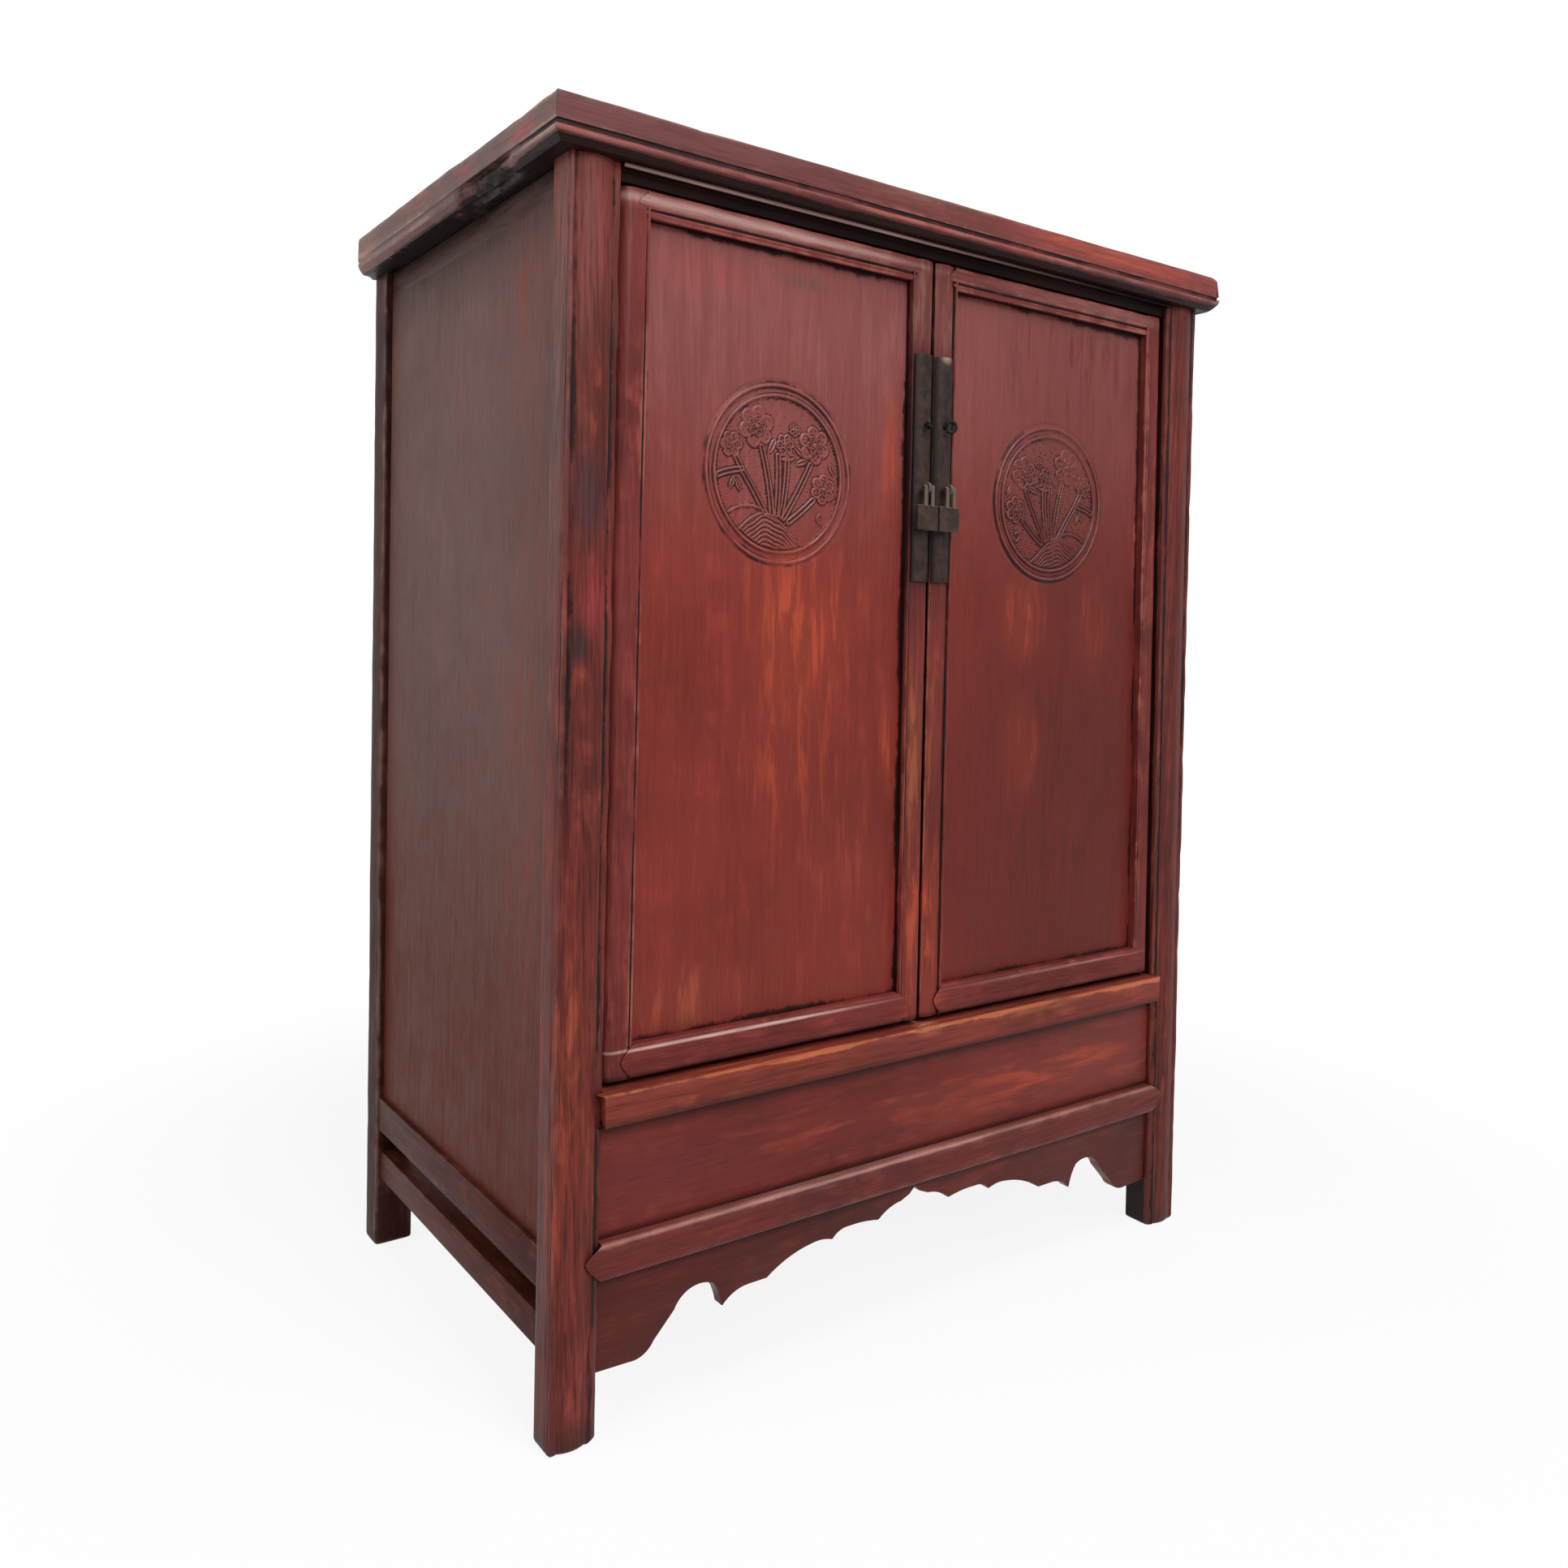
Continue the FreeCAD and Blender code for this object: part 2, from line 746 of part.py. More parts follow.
def build_top_front():
    """Front member of the top, mitred at both ends."""
    body = new_body("top_frame_front")
    section = new_sketch(body, "section", "YZ_Plane", "-top_half_width")
    add_outline(section, edge_outline("top_front_edge"))
    pad(body, "length", section, "2 * top_half_width")
    far = "(top_half_width + cut_overrun)"
    near = "(top_inner_half_width - cut_overrun)"
    fore = "top_front_edge - cut_overrun"
    rear = "top_inner_front + cut_overrun"
    cut_mitre(body, "left_mitre", [("-" + far, fore), ("-" + near, rear), ("-" + far, rear)])
    cut_mitre(body, "right_mitre", [(far, fore), (far, rear), (near, rear)])


def build_top_side():
    """Left member of the top: mitred in front, straight through to the back."""
    body = new_body("top_frame_left")
    section = new_sketch(body, "section", "XZ_Plane", "-top_back_edge")
    add_outline(section, edge_outline("-top_half_width"))
    pad(body, "length", section, "top_back_edge - top_front_edge")
    far = "-top_half_width - cut_overrun"
    near = "-top_inner_half_width + cut_overrun"
    fore = "top_front_edge - cut_overrun"
    rear = "top_inner_front + cut_overrun"
    cut_mitre(body, "mitre", [(far, fore), (near, fore), (near, rear)])
    mirror_right(body, "top_frame_right")


def build_top_back():
    """Plain back member of the top, tongued into the side members."""
    body = new_body("top_frame_back")
    inner = ("-top_inner_half_width", "top_inner_half_width")
    tongued = ("-top_inner_half_width - top_tongue", "top_inner_half_width + top_tongue")
    levels = ("top_board_low", "top_board_high")
    seat = "top_inner_back + top_tongue"
    block(body, "member", inner, ("top_inner_back", "top_back_edge"), ("top_underside", "total_height"))
    block(body, "groove", tongued, ("top_inner_back - cut_overrun", seat), levels, cut=True)
    block(body, "tongues", tongued, (seat, "top_back_edge"), levels)


def build_top_board():
    """Board of the top and the two battens that stiffen it from below."""
    body = new_body("top_panel")
    across = ("-top_inner_half_width - top_tongue", "top_inner_half_width + top_tongue")
    depths = ("top_inner_front - top_tongue", "top_inner_back + top_tongue")
    block(body, "board", across, depths, ("top_board_low", "top_board_high"))
    batten = new_body("top_batten_left")
    left = "-top_batten_from_middle - top_batten_width / 2"
    span = (left, left + " + top_batten_width")
    depths = ("top_inner_front", "top_inner_back")
    block(batten, "batten", span, depths, ("top_board_low - top_batten_height", "top_board_low"))
    mirror_right(batten, "top_batten_right")


# Front rails and boards

def build_head_rail_front():
    """Thin front head rail with a lip under the top and a blind hole for each door pivot."""
    body = new_body("head_rail_front")
    sections = []
    for level in FRONT_RAILS["head"]:
        inner = front_inner(level)
        fore = front(level) + " + head_recess"
        sections.append(("-" + inner, inner, fore, front(level) + " + post_depth", level))
    board(body, "rail", *sections)
    lip = []
    for level in ("top_underside - head_lip_height", "top_underside"):
        inner = front_inner(level)
        fore = front(level) + " + head_lip_recess"
        lip.append(("-" + inner, inner, fore, front(level) + " + head_recess", level))
    board(body, "lip", *lip)
    block(body, "tenon_core", *front_tenon(FRONT_RAILS["head"]))
    cut_pivot_holes(body, "head_front_bottom", "pivot_top_length - head_front_bottom + door_top", 1)


def pivot_across(level):
    """Distance of the left door's leaning axis from the middle plane, at a level."""
    rise = "((%s) - pivot_foot_level)" % level
    return "(door_half_opening - pivot_set - side_slope / tilt_cosine * %s)" % rise


def pivot_depth(level):
    """Depth of a door's leaning axis at a level."""
    return "door_front + pivot_set * tilt_cosine + front_slope * ((%s) - pivot_foot_level)" % level


def cut_pivot_holes(body, level, entered, up):
    """Drill both pivot holes from a level along the leaning axes, upwards or downwards."""
    for name, side in (("left", -1), ("right", 1)):
        plan = new_sketch(body, name + "_pivot_outline", "XY_Plane", level)
        across = "%d * %s" % (side, pivot_across(level))
        add_circle(plan, across, pivot_depth(level), "pivot_radius + pivot_play")
        lean = ("%d * side_slope / tilt_cosine" % (-side * up), "%d * front_slope" % up)
        pocket(body, name + "_pivot_hole", plan, entered + " + pivot_hole_extra", lean, up)


def build_sill_rail():
    """Thick rail under the doors; its nose laps the posts and its ledge carries the floor."""
    body = new_body("sill_rail")
    fore = "-foot_half_depth"
    sections = []
    for level in FRONT_RAILS["sill"]:
        inner = front_inner(level)
        rear = front(level) + " + post_depth"
        sections.append(("-" + inner, inner, fore + " + sill_chamfer", rear, level))
    board(body, "rail", *sections)
    half = "(%s + sill_lap)" % front_inner("sill_middle")
    rear = front("sill_bottom") + " + post_set_back - fit_gap"
    nose = new_sketch(body, "nose_outline", "XY_Plane", "sill_bottom")
    add_outline(nose, [
        ("-" + half, rear), ("-" + half, fore + " + sill_chamfer"), ("-%s + sill_chamfer" % half, fore),
        (half + " - sill_chamfer", fore), (half, fore + " + sill_chamfer"), (half, rear),
    ])
    pad(body, "nose", nose, "sill_height")
    round_edges(body, "nose_rounding", "sill_round", is_long_edge_at(number(fore)))
    ledge = []
    for level in ("floor_bottom - ledge_height", "floor_bottom"):
        inner = front_inner(level)
        rear = front(level) + " + post_depth"
        ledge.append(("-" + inner, inner, rear, rear + " + ledge_depth", level))
    board(body, "ledge", *ledge)
    block(body, "tenon_core", *front_tenon(FRONT_RAILS["sill"]))
    cut_pivot_holes(body, "sill_top", "pivot_bottom_length - door_bottom + sill_top", -1)


def is_long_edge_at(depth):
    """A test for the straight edges that run crosswise at a depth."""
    def chooser(edge):
        ends = [vertex.Point for vertex in edge.Vertexes]
        crosswise = len(ends) > 1 and abs(ends[0].x - ends[1].x) > abs(ends[0].z - ends[1].z)
        return crosswise and all(abs(end.y - depth) < number("fit_gap") for end in ends)
    return chooser


def build_skirt_panel():
    """Plain board between the sill and the lower front rail."""
    body = new_body("skirt_panel")
    sections = []
    for level in ("lower_rail_top", "sill_bottom"):
        inner = front_inner(level)
        face = front(level) + " + skirt_recess"
        sections.append(("-" + inner, inner, face, face + " + skirt_thickness", level))
    board(body, "board", *sections)


def rounded_bar_outline(face, rear, low, high, rounding):
    """End view of a bar with its two front edges rounded."""
    bulge = rounding + " * quarter_round_share"
    return [
        (rear, high), ("%s + %s" % (face, rounding), high, bulge), (face, "%s - %s" % (high, rounding)),
        (face, "%s + %s" % (low, rounding), bulge), ("%s + %s" % (face, rounding), low), (rear, low),
    ]


def add_pointed_bar(body, across, levels, depths, tip, rise, rounding):
    """The face layer of a rail: a rounded bar with a pointed tip at each end."""
    left, right = across
    low, high = levels
    face, rear = depths
    section = new_sketch(body, "face_section", "YZ_Plane", "%s - %s" % (left, tip))
    add_outline(section, rounded_bar_outline(face, rear, low, high, rounding))
    pad(body, "face_layer", section, "(%s) - (%s) + 2 * %s" % (right, left, tip))
    middle = "%s + %s" % (middle_of((low, high)), rise)
    for name, edge, sign in (("left", left, "-"), ("right", right, "+")):
        point = "%s %s %s" % (edge, sign, tip)
        past = "%s %s cut_overrun" % (point, sign)
        for place, level, turn in (("below", low, "-"), ("above", high, "+")):
            beyond = "%s %s cut_overrun" % (level, turn)
            title = "%s_tip_%s" % (name, place)
            waste = new_sketch(body, title + "_outline", "XZ_Plane", "-(%s) + cut_overrun" % face)
            add_outline(waste, [
                (edge, level), (point, middle), (past, middle), (past, beyond), (edge, beyond),
            ])
            pocket(body, title, waste, "(%s) - (%s) + 2 * cut_overrun" % (rear, face))


def build_lower_rail():
    """Rounded lower front rail with tips let into the posts and a ledge behind."""
    body = new_body("lower_rail_front")
    inner = front_inner("lower_rail_middle")
    levels = FRONT_RAILS["lower"]
    depths = ("lower_rail_front", "lower_rail_layer")
    add_pointed_bar(body, ("-" + inner, inner), levels, depths, "rail_tip", "rail_tip_rise", "rail_round")
    sections = []
    for level in levels:
        inner = front_inner(level)
        sections.append(("-" + inner, inner, "lower_rail_layer", front(level) + " + post_depth", level))
    board(body, "rail", *sections)
    ledge = []
    for level in ("bottom_board_bottom - ledge_height", "bottom_board_bottom"):
        inner = front_inner(level)
        rear = front(level) + " + post_depth"
        ledge.append(("-" + inner, inner, rear, rear + " + ledge_depth", level))
    board(body, "ledge", *ledge)
    block(body, "tenon_core", *front_tenon(levels))


def build_apron():
    """Shaped apron under the lower front rail."""
    body = new_body("apron")
    top = "lower_rail_bottom"
    half = []
    for across, drop, bulge in APRON_EDGE_SHARES:
        half.append(("%s * apron_half_width" % across, "%s - %s * apron_drop" % (top, drop), bulge))
    corner = "(apron_bottom + apron_corner_rise)"
    points = [(front_inner(top), top), ("-" + front_inner(top), top), ("-" + front_inner(corner), corner)]
    for across, level, bulge in half:
        points.append(edge_point("-" + across, level, bulge))
    for index in range(len(half) - 2, -1, -1):
        points.append(edge_point(half[index][0], half[index][1], half[index - 1][2] if index else 0.0))
    points.append((front_inner(corner), corner))
    face = new_sketch(body, "face_outline", "XZ_Plane", "-apron_front - apron_thickness")
    add_outline(face, points)
    pad(body, "board", face, "apron_thickness")


def edge_point(across, level, bulge_share):
    """A point of the apron's lower edge, with the bulge of the edge that leaves it."""
    if bulge_share:
        return across, level, "%s * apron_drop" % bulge_share
    return across, level


# Sides and back

def side_rail_sections(levels, recess, thickness):
    """Two level sections of a left side rail between the posts."""
    sections = []
    for level in levels:
        face = "-%s + %s" % (outer(level), recess)
        depths = (front(level) + " + post_depth", back(level) + " - post_depth")
        sections.append((face, "%s + %s" % (face, thickness), *depths, level))
    return sections


def build_side_rails():
    """Left head rail, side rail and stretcher, each with its tenon core, and their twins."""
    for name, key, recess, thickness in (
        ("head_rail", "head", "side_board_recess", "side_rail_thickness"),
        ("side_rail", "rail", "side_rail_set", "side_rail_thickness"),
        ("side_stretcher", "stretcher", "stretcher_set", "stretcher_thickness"),
    ):
        body = new_body(name + "_left")
        board(body, "rail", *side_rail_sections(SIDE_RAILS[key], recess, thickness))
        block(body, "tenon_core", *side_tenon(SIDE_RAILS[key]))
        mirror_right(body, name + "_right")


def build_side_boards():
    """The two boards of the left side panel and their twins."""
    seam = "side_seam_from_middle"
    front_board = new_body("side_panel_left_front")
    back_board = new_body("side_panel_left_back")
    front_sections = []
    back_sections = []
    for level in ("side_rail_top", "head_bottom"):
        fore = front(level) + " + post_depth - board_tongue"
        rear = back(level) + " - post_depth + board_tongue"
        front_sections.append(side_board_section(level, fore, seam))
        back_sections.append(side_board_section(level, seam, rear))
    board(front_board, "board", *front_sections)
    board(back_board, "board", *back_sections)
    mirror_right(front_board, "side_panel_right_front")
    mirror_right(back_board, "side_panel_right_back")


def build_back_rails():
    """The three back rails; the lower two have a ledge in front."""
    for name, key, ledge_top in (
        ("head_rail_back", "head", None),
        ("back_rail_middle", "middle", "floor_bottom"),
        ("back_rail_lower", "lower", "bottom_board_bottom"),
    ):
        body = new_body(name)
        sections = []
        for level in BACK_RAILS[key]:
            inner = back_inner(level)
            depths = (back(level) + " - post_depth", back(level) + " - back_rail_recess")
            sections.append(("-" + inner, inner, *depths, level))
        board(body, "rail", *sections)
        if ledge_top:
            ledge = []
            for level in (ledge_top + " - ledge_height", ledge_top):
                inner = back_inner(level)
                fore = back(level) + " - post_depth"
                ledge.append(("-" + inner, inner, fore + " - ledge_depth", fore, level))
            board(body, "ledge", *ledge)
        block(body, "tenon_core", *back_tenon(BACK_RAILS[key]))


def build_back_boards():
    """Left back board with its twin, and the board behind the hidden space."""
    body = new_body("back_board_left")
    sections = [
        back_board_section(level, "-%s - board_tongue" % back_inner(level), "0")
        for level in ("sill_top", "head_bottom")
    ]
    board(body, "board", *sections)
    mirror_right(body, "back_board_right")
    lower = new_body("back_skirt_panel")
    sections = []
    for level in ("lower_rail_top", "sill_bottom"):
        edge = "(%s + board_tongue)" % back_inner(level)
        sections.append(back_board_section(level, "-" + edge, edge))
    board(lower, "board", *sections)


# Inside

def inside_depth(level, set_back="0"):
    """Front and back of the space between the posts at a level, less a fit gap."""
    fore = "%s + post_depth + fit_gap + %s" % (front(level), set_back)
    return fore, back(level) + " - post_depth - fit_gap"


def build_floor():
    """Fixed floor boards left and right, and the lift-out board between them."""
    body = new_body("floor_board_left")
    side = "-%s + side_board_inner + fit_gap" % outer("floor_top")
    levels = ("floor_bottom", "floor_top")
    block(body, "board", (side, "-lid_half_width"), inside_depth("floor_top"), levels)
    mirror_right(body, "floor_board_right")
    lid = new_body("floor_lid")
    half = "(lid_half_width - lid_play)"
    depths = inside_depth("floor_top")
    block(lid, "board", ("-" + half, half), depths, levels)
    plan = new_sketch(lid, "finger_hole_outline", "XY_Plane", "floor_top")
    add_circle(plan, "0", depths[0] + " + finger_hole_inset", "finger_hole_radius")
    pocket(lid, "finger_hole", plan, "floor_thickness")


def build_bottom_board():
    """Bottom of the hidden space, on the ledges of the lower rails."""
    body = new_body("bottom_board")
    half = "(%s - side_rail_set - side_rail_thickness - fit_gap)" % outer("bottom_board_top")
    levels = ("bottom_board_bottom", "bottom_board_top")
    block(body, "board", ("-" + half, half), inside_depth("bottom_board_top"), levels)


def build_shelf():
    """Shelf on two cleats fixed to the side boards."""
    body = new_body("shelf_board")
    half = "(%s - side_board_inner - fit_gap)" % outer("shelf_top")
    depths = inside_depth("shelf_top", "shelf_set_back")
    block(body, "board", ("-" + half, half), depths, ("shelf_bottom", "shelf_top"))
    cleat = new_body("shelf_cleat_left")
    sections = []
    for level in ("shelf_bottom - cleat_height", "shelf_bottom"):
        face = "-%s + side_board_inner" % outer(level)
        sections.append((face, face + " + cleat_thickness", depths[0], depths[1], level))
    board(cleat, "cleat", *sections)
    mirror_right(cleat, "shelf_cleat_right")


# Doors. Each piece is drawn upright with x from the middle plane, y from the door's front
# face and z from its bottom edge; its body is then tilted back with the front posts.

def new_door_body(name):
    """An empty body of the left door, tilted back about the door's bottom front edge."""
    body = new_body("door_left_" + name)
    body.Placement = turned_about(CROSSWISE_AXIS, number("tilt_angle"))
    body.setExpression("Placement.Rotation.Angle", bind("tilt_angle"))
    body.setExpression("Placement.Base.y", bind("door_front"))
    body.setExpression("Placement.Base.z", bind("door_bottom"))
    return body


def hanging_inner(level):
    """Inner edge of the hanging stile at a height in the door."""
    return "(hanging_stile_inner + side_slope * (%s))" % level


DOOR_RAILS = {
    "top_rail": ("top_rail_bottom", "door_height"),
    "bottom_rail": ("0", "door_bottom_rail"),
}
DOOR_TENONS = {
    "top_rail": ("top_rail_bottom + tenon_panel_shoulder", "door_height - tenon_shoulder"),
    "bottom_rail": ("tenon_shoulder", "door_bottom_rail - tenon_panel_shoulder"),
}
DOOR_PANEL_LEVELS = ("door_bottom_rail - door_panel_tongue", "top_rail_bottom + door_panel_tongue")


def door_rail_face(key):
    """Left and right end of a door rail's face without its tips."""
    return hanging_inner(middle_of(DOOR_RAILS[key])), "stile_edge"


def door_tenon(key):
    """The core that runs through a door rail and into both stiles."""
    left = hanging_inner(middle_of(DOOR_RAILS[key])) + " - door_tenon_length"
    span = (left, "stile_edge + door_tenon_length")
    return span, ("door_tenon_set", "door_tenon_set + door_tenon_thickness"), DOOR_TENONS[key]


def door_panel_sections():
    """Two level sections of the door panel with its tongues."""
    sections = []
    right = "stile_edge + door_panel_tongue"
    for level in DOOR_PANEL_LEVELS:
        left = hanging_inner(level) + " - door_panel_tongue"
        sections.append((left, right, "door_panel_recess", "door_panel_back", level))
    return sections


def cut_door_joints(body):
    """Cut the panel groove, the mortises and the notches for the rail tips in a stile."""
    board(body, "panel_groove", *door_panel_sections(), cut=True)
    for key, levels in DOOR_RAILS.items():
        block(body, key + "_mortise", *door_tenon(key), cut=True)
        notch = new_sketch(body, key + "_notch_outline", "XZ_Plane", "cut_overrun")
        left, right = door_rail_face(key)
        add_outline(notch, pointed_outline(left, right, levels[0], levels[1], "door_tip", "0"))
        pocket(body, key + "_notch", notch, "door_tip_depth + cut_overrun")


def hanging_stile_outline():
    """Plan of the hanging stile at the door's bottom: round outer edge, small inner bead."""
    left = "-door_half_opening"
    right = "hanging_stile_inner"
    round_bulge = "pivot_set * quarter_round_share"
    bead = right + " - stile_bead"
    return [
        (right, "door_thickness"),
        (left + " + pivot_set", "door_thickness", round_bulge),
        (left, "pivot_set", round_bulge),
        (left + " + pivot_set", "0"),
        (bead + " - stile_groove", "0"),
        (bead + " - stile_groove / 2", "stile_groove"),
        (bead, "0"),
        (right + " - stile_groove", "0"),
        (right, "stile_groove"),
    ]


def build_hanging_stile():
    """Hanging stile with a pivot turned on each end."""
    body = new_door_body("hanging_stile")
    plan = new_sketch(body, "plan", "XY_Plane", "0")
    add_outline(plan, hanging_stile_outline())
    pad(body, "shaft", plan, "door_height", ("side_slope", "0"))
    cut_door_joints(body)
    add_pivot(body, "top_pivot", "door_height - pivot_root", "pivot_root + pivot_top_length")
    add_pivot(body, "bottom_pivot", "-pivot_bottom_length", "pivot_root + pivot_bottom_length")
    mirror_right(body, "door_right_hanging_stile")


def add_pivot(body, name, level, length):
    """A round pivot along the leaning axis, from a height in the door upwards."""
    pivot = body.newObject("PartDesign::AdditiveCylinder", name)
    pivot.setExpression("Radius", bind("pivot_radius"))
    pivot.setExpression("Height", bind(length))
    pivot.Placement = turned_about(DEPTH_AXIS, number("side_lean_angle"))
    pivot.setExpression("Placement.Rotation.Angle", bind("side_lean_angle"))
    across = "-door_half_opening + pivot_set + side_slope * (%s)" % level
    pivot.setExpression("Placement.Base.x", bind(across))
    pivot.setExpression("Placement.Base.y", bind("pivot_set"))
    pivot.setExpression("Placement.Base.z", bind(level))
    doc.recompute()


def build_meeting_stile():
    """Meeting stile with a rounded face, an inner bead and holes for the lock eyes."""
    body = new_door_body("meeting_stile")
    plan = new_sketch(body, "plan", "XY_Plane", "0")
    bead_right = "stile_edge + stile_bead"
    add_outline(plan, [
        ("-meeting_gap", "door_thickness"),
        ("stile_edge", "door_thickness"),
        ("stile_edge", "stile_crown / 2", "stile_groove"),
        (bead_right, "stile_crown / 2"),
        (bead_right + " + stile_groove", "stile_crown", "stile_crown"),
        ("-meeting_gap", "stile_crown"),
    ])
    pad(body, "shaft", plan, "door_height")
    cut_door_joints(body)
    cut_eye_holes(body)
    mirror_right(body, "door_right_meeting_stile")


def cut_eye_holes(body):
    """Drill the two holes for the stems of the lock eyes."""
    for name, height in (("upper", "upper_eye_height"), ("lower", "lower_eye_height")):
        plan = new_sketch(body, name + "_eye_outline", "XZ_Plane", "-plate_peak + cut_overrun")
        add_circle(plan, "eye_across", height, "eye_stem_radius + eye_stem_play")
        pocket(body, name + "_eye_hole", plan, "door_thickness - plate_peak + 2 * cut_overrun")


def build_door_rails():
    """Top and bottom rail of the left door and their twins."""
    for key, levels in DOOR_RAILS.items():
        body = new_door_body(key)
        depths = ("0", "door_tip_depth")
        add_pointed_bar(body, door_rail_face(key), levels, depths, "door_tip", "0", "door_rail_round")
        sections = []
        for level in levels:
            left = hanging_inner(level)
            sections.append((left, "stile_edge", "door_tip_depth", "door_thickness", level))
        board(body, "rail", *sections)
        block(body, "tenon_core", *door_tenon(key))
        board(body, "panel_groove", *door_panel_sections(), cut=True)
        mirror_right(body, "door_right_" + key)


def build_door_panel():
    """Door panel with its raised medallion."""
    body = new_door_body("panel")
    board(body, "board", *door_panel_sections())
    relief = new_sketch(body, "relief_outline", "XZ_Plane", "-door_panel_recess")
    draw_medallion(relief)
    pad(body, "relief", relief, "relief_height")
    mirror_right(body, "door_right_panel")


def medallion_point(across_share, up_share):
    """A place in the left medallion, from shares of its radius."""
    across = "-medallion_centre + %.4f * medallion_radius" % across_share
    return across, "medallion_height + %.4f * medallion_radius" % up_share


def draw_medallion(sketch):
    """Two rings, five flowers on stems and a mound."""
    centre = medallion_point(0, 0)
    for outer_radius in ("medallion_radius", "medallion_radius - ring_step"):
        add_circle(sketch, centre[0], centre[1], outer_radius)
        add_circle(sketch, centre[0], centre[1], outer_radius + " - ring_width")
    for flower, foot in zip(FLOWER_SHARES, STEM_FOOT_SHARES):
        draw_flower(sketch, flower)
        draw_stem(sketch, flower, foot)
    low = centre[1] + " - mound_below_centre"
    left = centre[0] + " - mound_half_width"
    right = centre[0] + " + mound_half_width"
    add_outline(sketch, [(left, low), (right, low, "mound_height")])


def draw_flower(sketch, share):
    """A flower head: a round eye with petals about it."""
    across, along = medallion_point(*share)
    add_circle(sketch, across, along, "flower_eye_radius")
    for petal in range(PETALS):
        angle = "%d * %d / %d" % (petal, FULL_TURN, PETALS)
        petal_across = "%s + petal_circle_radius * sin(%s)" % (across, angle)
        petal_along = "%s + petal_circle_radius * cos(%s)" % (along, angle)
        add_circle(sketch, petal_across, petal_along, "petal_radius")


def draw_stem(sketch, flower, foot):
    """A straight stem from the mound to just below a flower head."""
    run = (flower[0] - foot[0], flower[1] - foot[1])
    reach = (run[0] ** 2 + run[1] ** 2) ** 0.5
    kept = 1 - STEM_TOP_GAP_SHARE / reach
    end = (foot[0] + run[0] * kept, foot[1] + run[1] * kept)
    aside = (run[1] / reach, -run[0] / reach)
    corners = []
    for share, side in ((foot, -1), (foot, 1), (end, 1), (end, -1)):
        across, along = medallion_point(*share)
        turned_across = "%s + %.4f * stem_width / 2" % (across, side * aside[0])
        corners.append((turned_across, "%s + %.4f * stem_width / 2" % (along, side * aside[1])))
    add_outline(sketch, corners)


def build_door_battens():
    """Two battens behind the door panel."""
    upper = "top_rail_bottom - door_batten_from_rail"
    lower = "door_bottom_rail + door_batten_from_rail"
    for name, low in (("batten_upper", upper + " - door_batten_height"), ("batten_lower", lower)):
        body = new_door_body(name)
        sections = []
        for level in (low, low + " + door_batten_height"):
            left = hanging_inner(level)
            sections.append((left, "stile_edge", "door_panel_back", "door_thickness", level))
        board(body, "batten", *sections)
        mirror_right(body, "door_right_" + name)


# Iron

def build_face_plate():
    """Half-round iron plate over the meeting stile."""
    body = new_door_body("face_plate")
    plan = new_sketch(body, "section", "XY_Plane", "plate_top - plate_length")
    edge = "plate_chord - plate_edge"
    add_outline(plan, [
        ("plate_right", "plate_chord", "-plate_crown"),
        ("plate_left", "plate_chord"),
        ("plate_left", edge, "plate_crown + plate_bulge_extra"),
        ("plate_right", edge),
    ])
    pad(body, "shell", plan, "plate_length")
    cut_eye_holes(body)
    mirror_right(body, "door_right_face_plate")


def build_lock_eyes():
    """Two iron eyes, each a ring on a stem that passes through the plate and the stile."""
    body = new_door_body("lock_eyes")
    for name, height in (("upper", "upper_eye_height"), ("lower", "lower_eye_height")):
        ring = body.newObject("PartDesign::AdditiveTorus", name + "_ring")
        ring.setExpression("Radius1", bind("eye_ring_radius"))
        ring.setExpression("Radius2", bind("eye_wire_radius"))
        ring.Placement = turned_about(DEPTH_AXIS, QUARTER_TURN)
        ring.setExpression("Placement.Base.x", bind("eye_across"))
        ring.setExpression("Placement.Base.y", bind("eye_depth"))
        ring.setExpression("Placement.Base.z", bind(height))
        plan = new_sketch(body, name + "_stem_outline", "XZ_Plane", "-door_thickness - eye_clinch")
        add_circle(plan, "eye_across", height, "eye_stem_radius")
        pad(body, name + "_stem", plan, "door_thickness + eye_clinch - eye_depth - eye_ring_radius")
    mirror_right(body, "door_right_lock_eyes")


def build_pull():
    """Hanging pull: a small iron tab with two lugs on a cross pin through the lower eye."""
    body = new_door_body("pull")
    face = "(eye_depth - pull_thickness / 2)"
    depths = (face, face + " + pull_thickness")
    half = "pull_width / 2"
    levels = ("pull_top - pull_height", "pull_top")
    block(body, "tab", ("eye_across - " + half, "eye_across + " + half), depths, levels)
    lugs = {
        "left": "eye_across - pull_half_gap - pull_knuckle_width",
        "right": "eye_across + pull_half_gap",
    }
    for name, start in lugs.items():
        span = (start, start + " + pull_knuckle_width")
        block(body, name + "_lug", span, depths, ("pull_top", "lower_eye_height"))
        add_cross_cylinder(body, name + "_knuckle", start, "pull_knuckle_width", "pull_knuckle_radius")
    reach = "(pull_half_gap + pull_knuckle_width)"
    add_cross_cylinder(body, "pin", "eye_across - " + reach, "2 * " + reach, "pull_pin_radius")
    mirror_right(body, "door_right_pull")


def add_cross_cylinder(body, name, start, length, radius):
    """A cylinder crosswise through the lower eye, from a place across."""
    plan = new_sketch(body, name + "_outline", "YZ_Plane", start)
    add_circle(plan, "eye_depth", "lower_eye_height", radius)
    pad(body, name, plan, length)


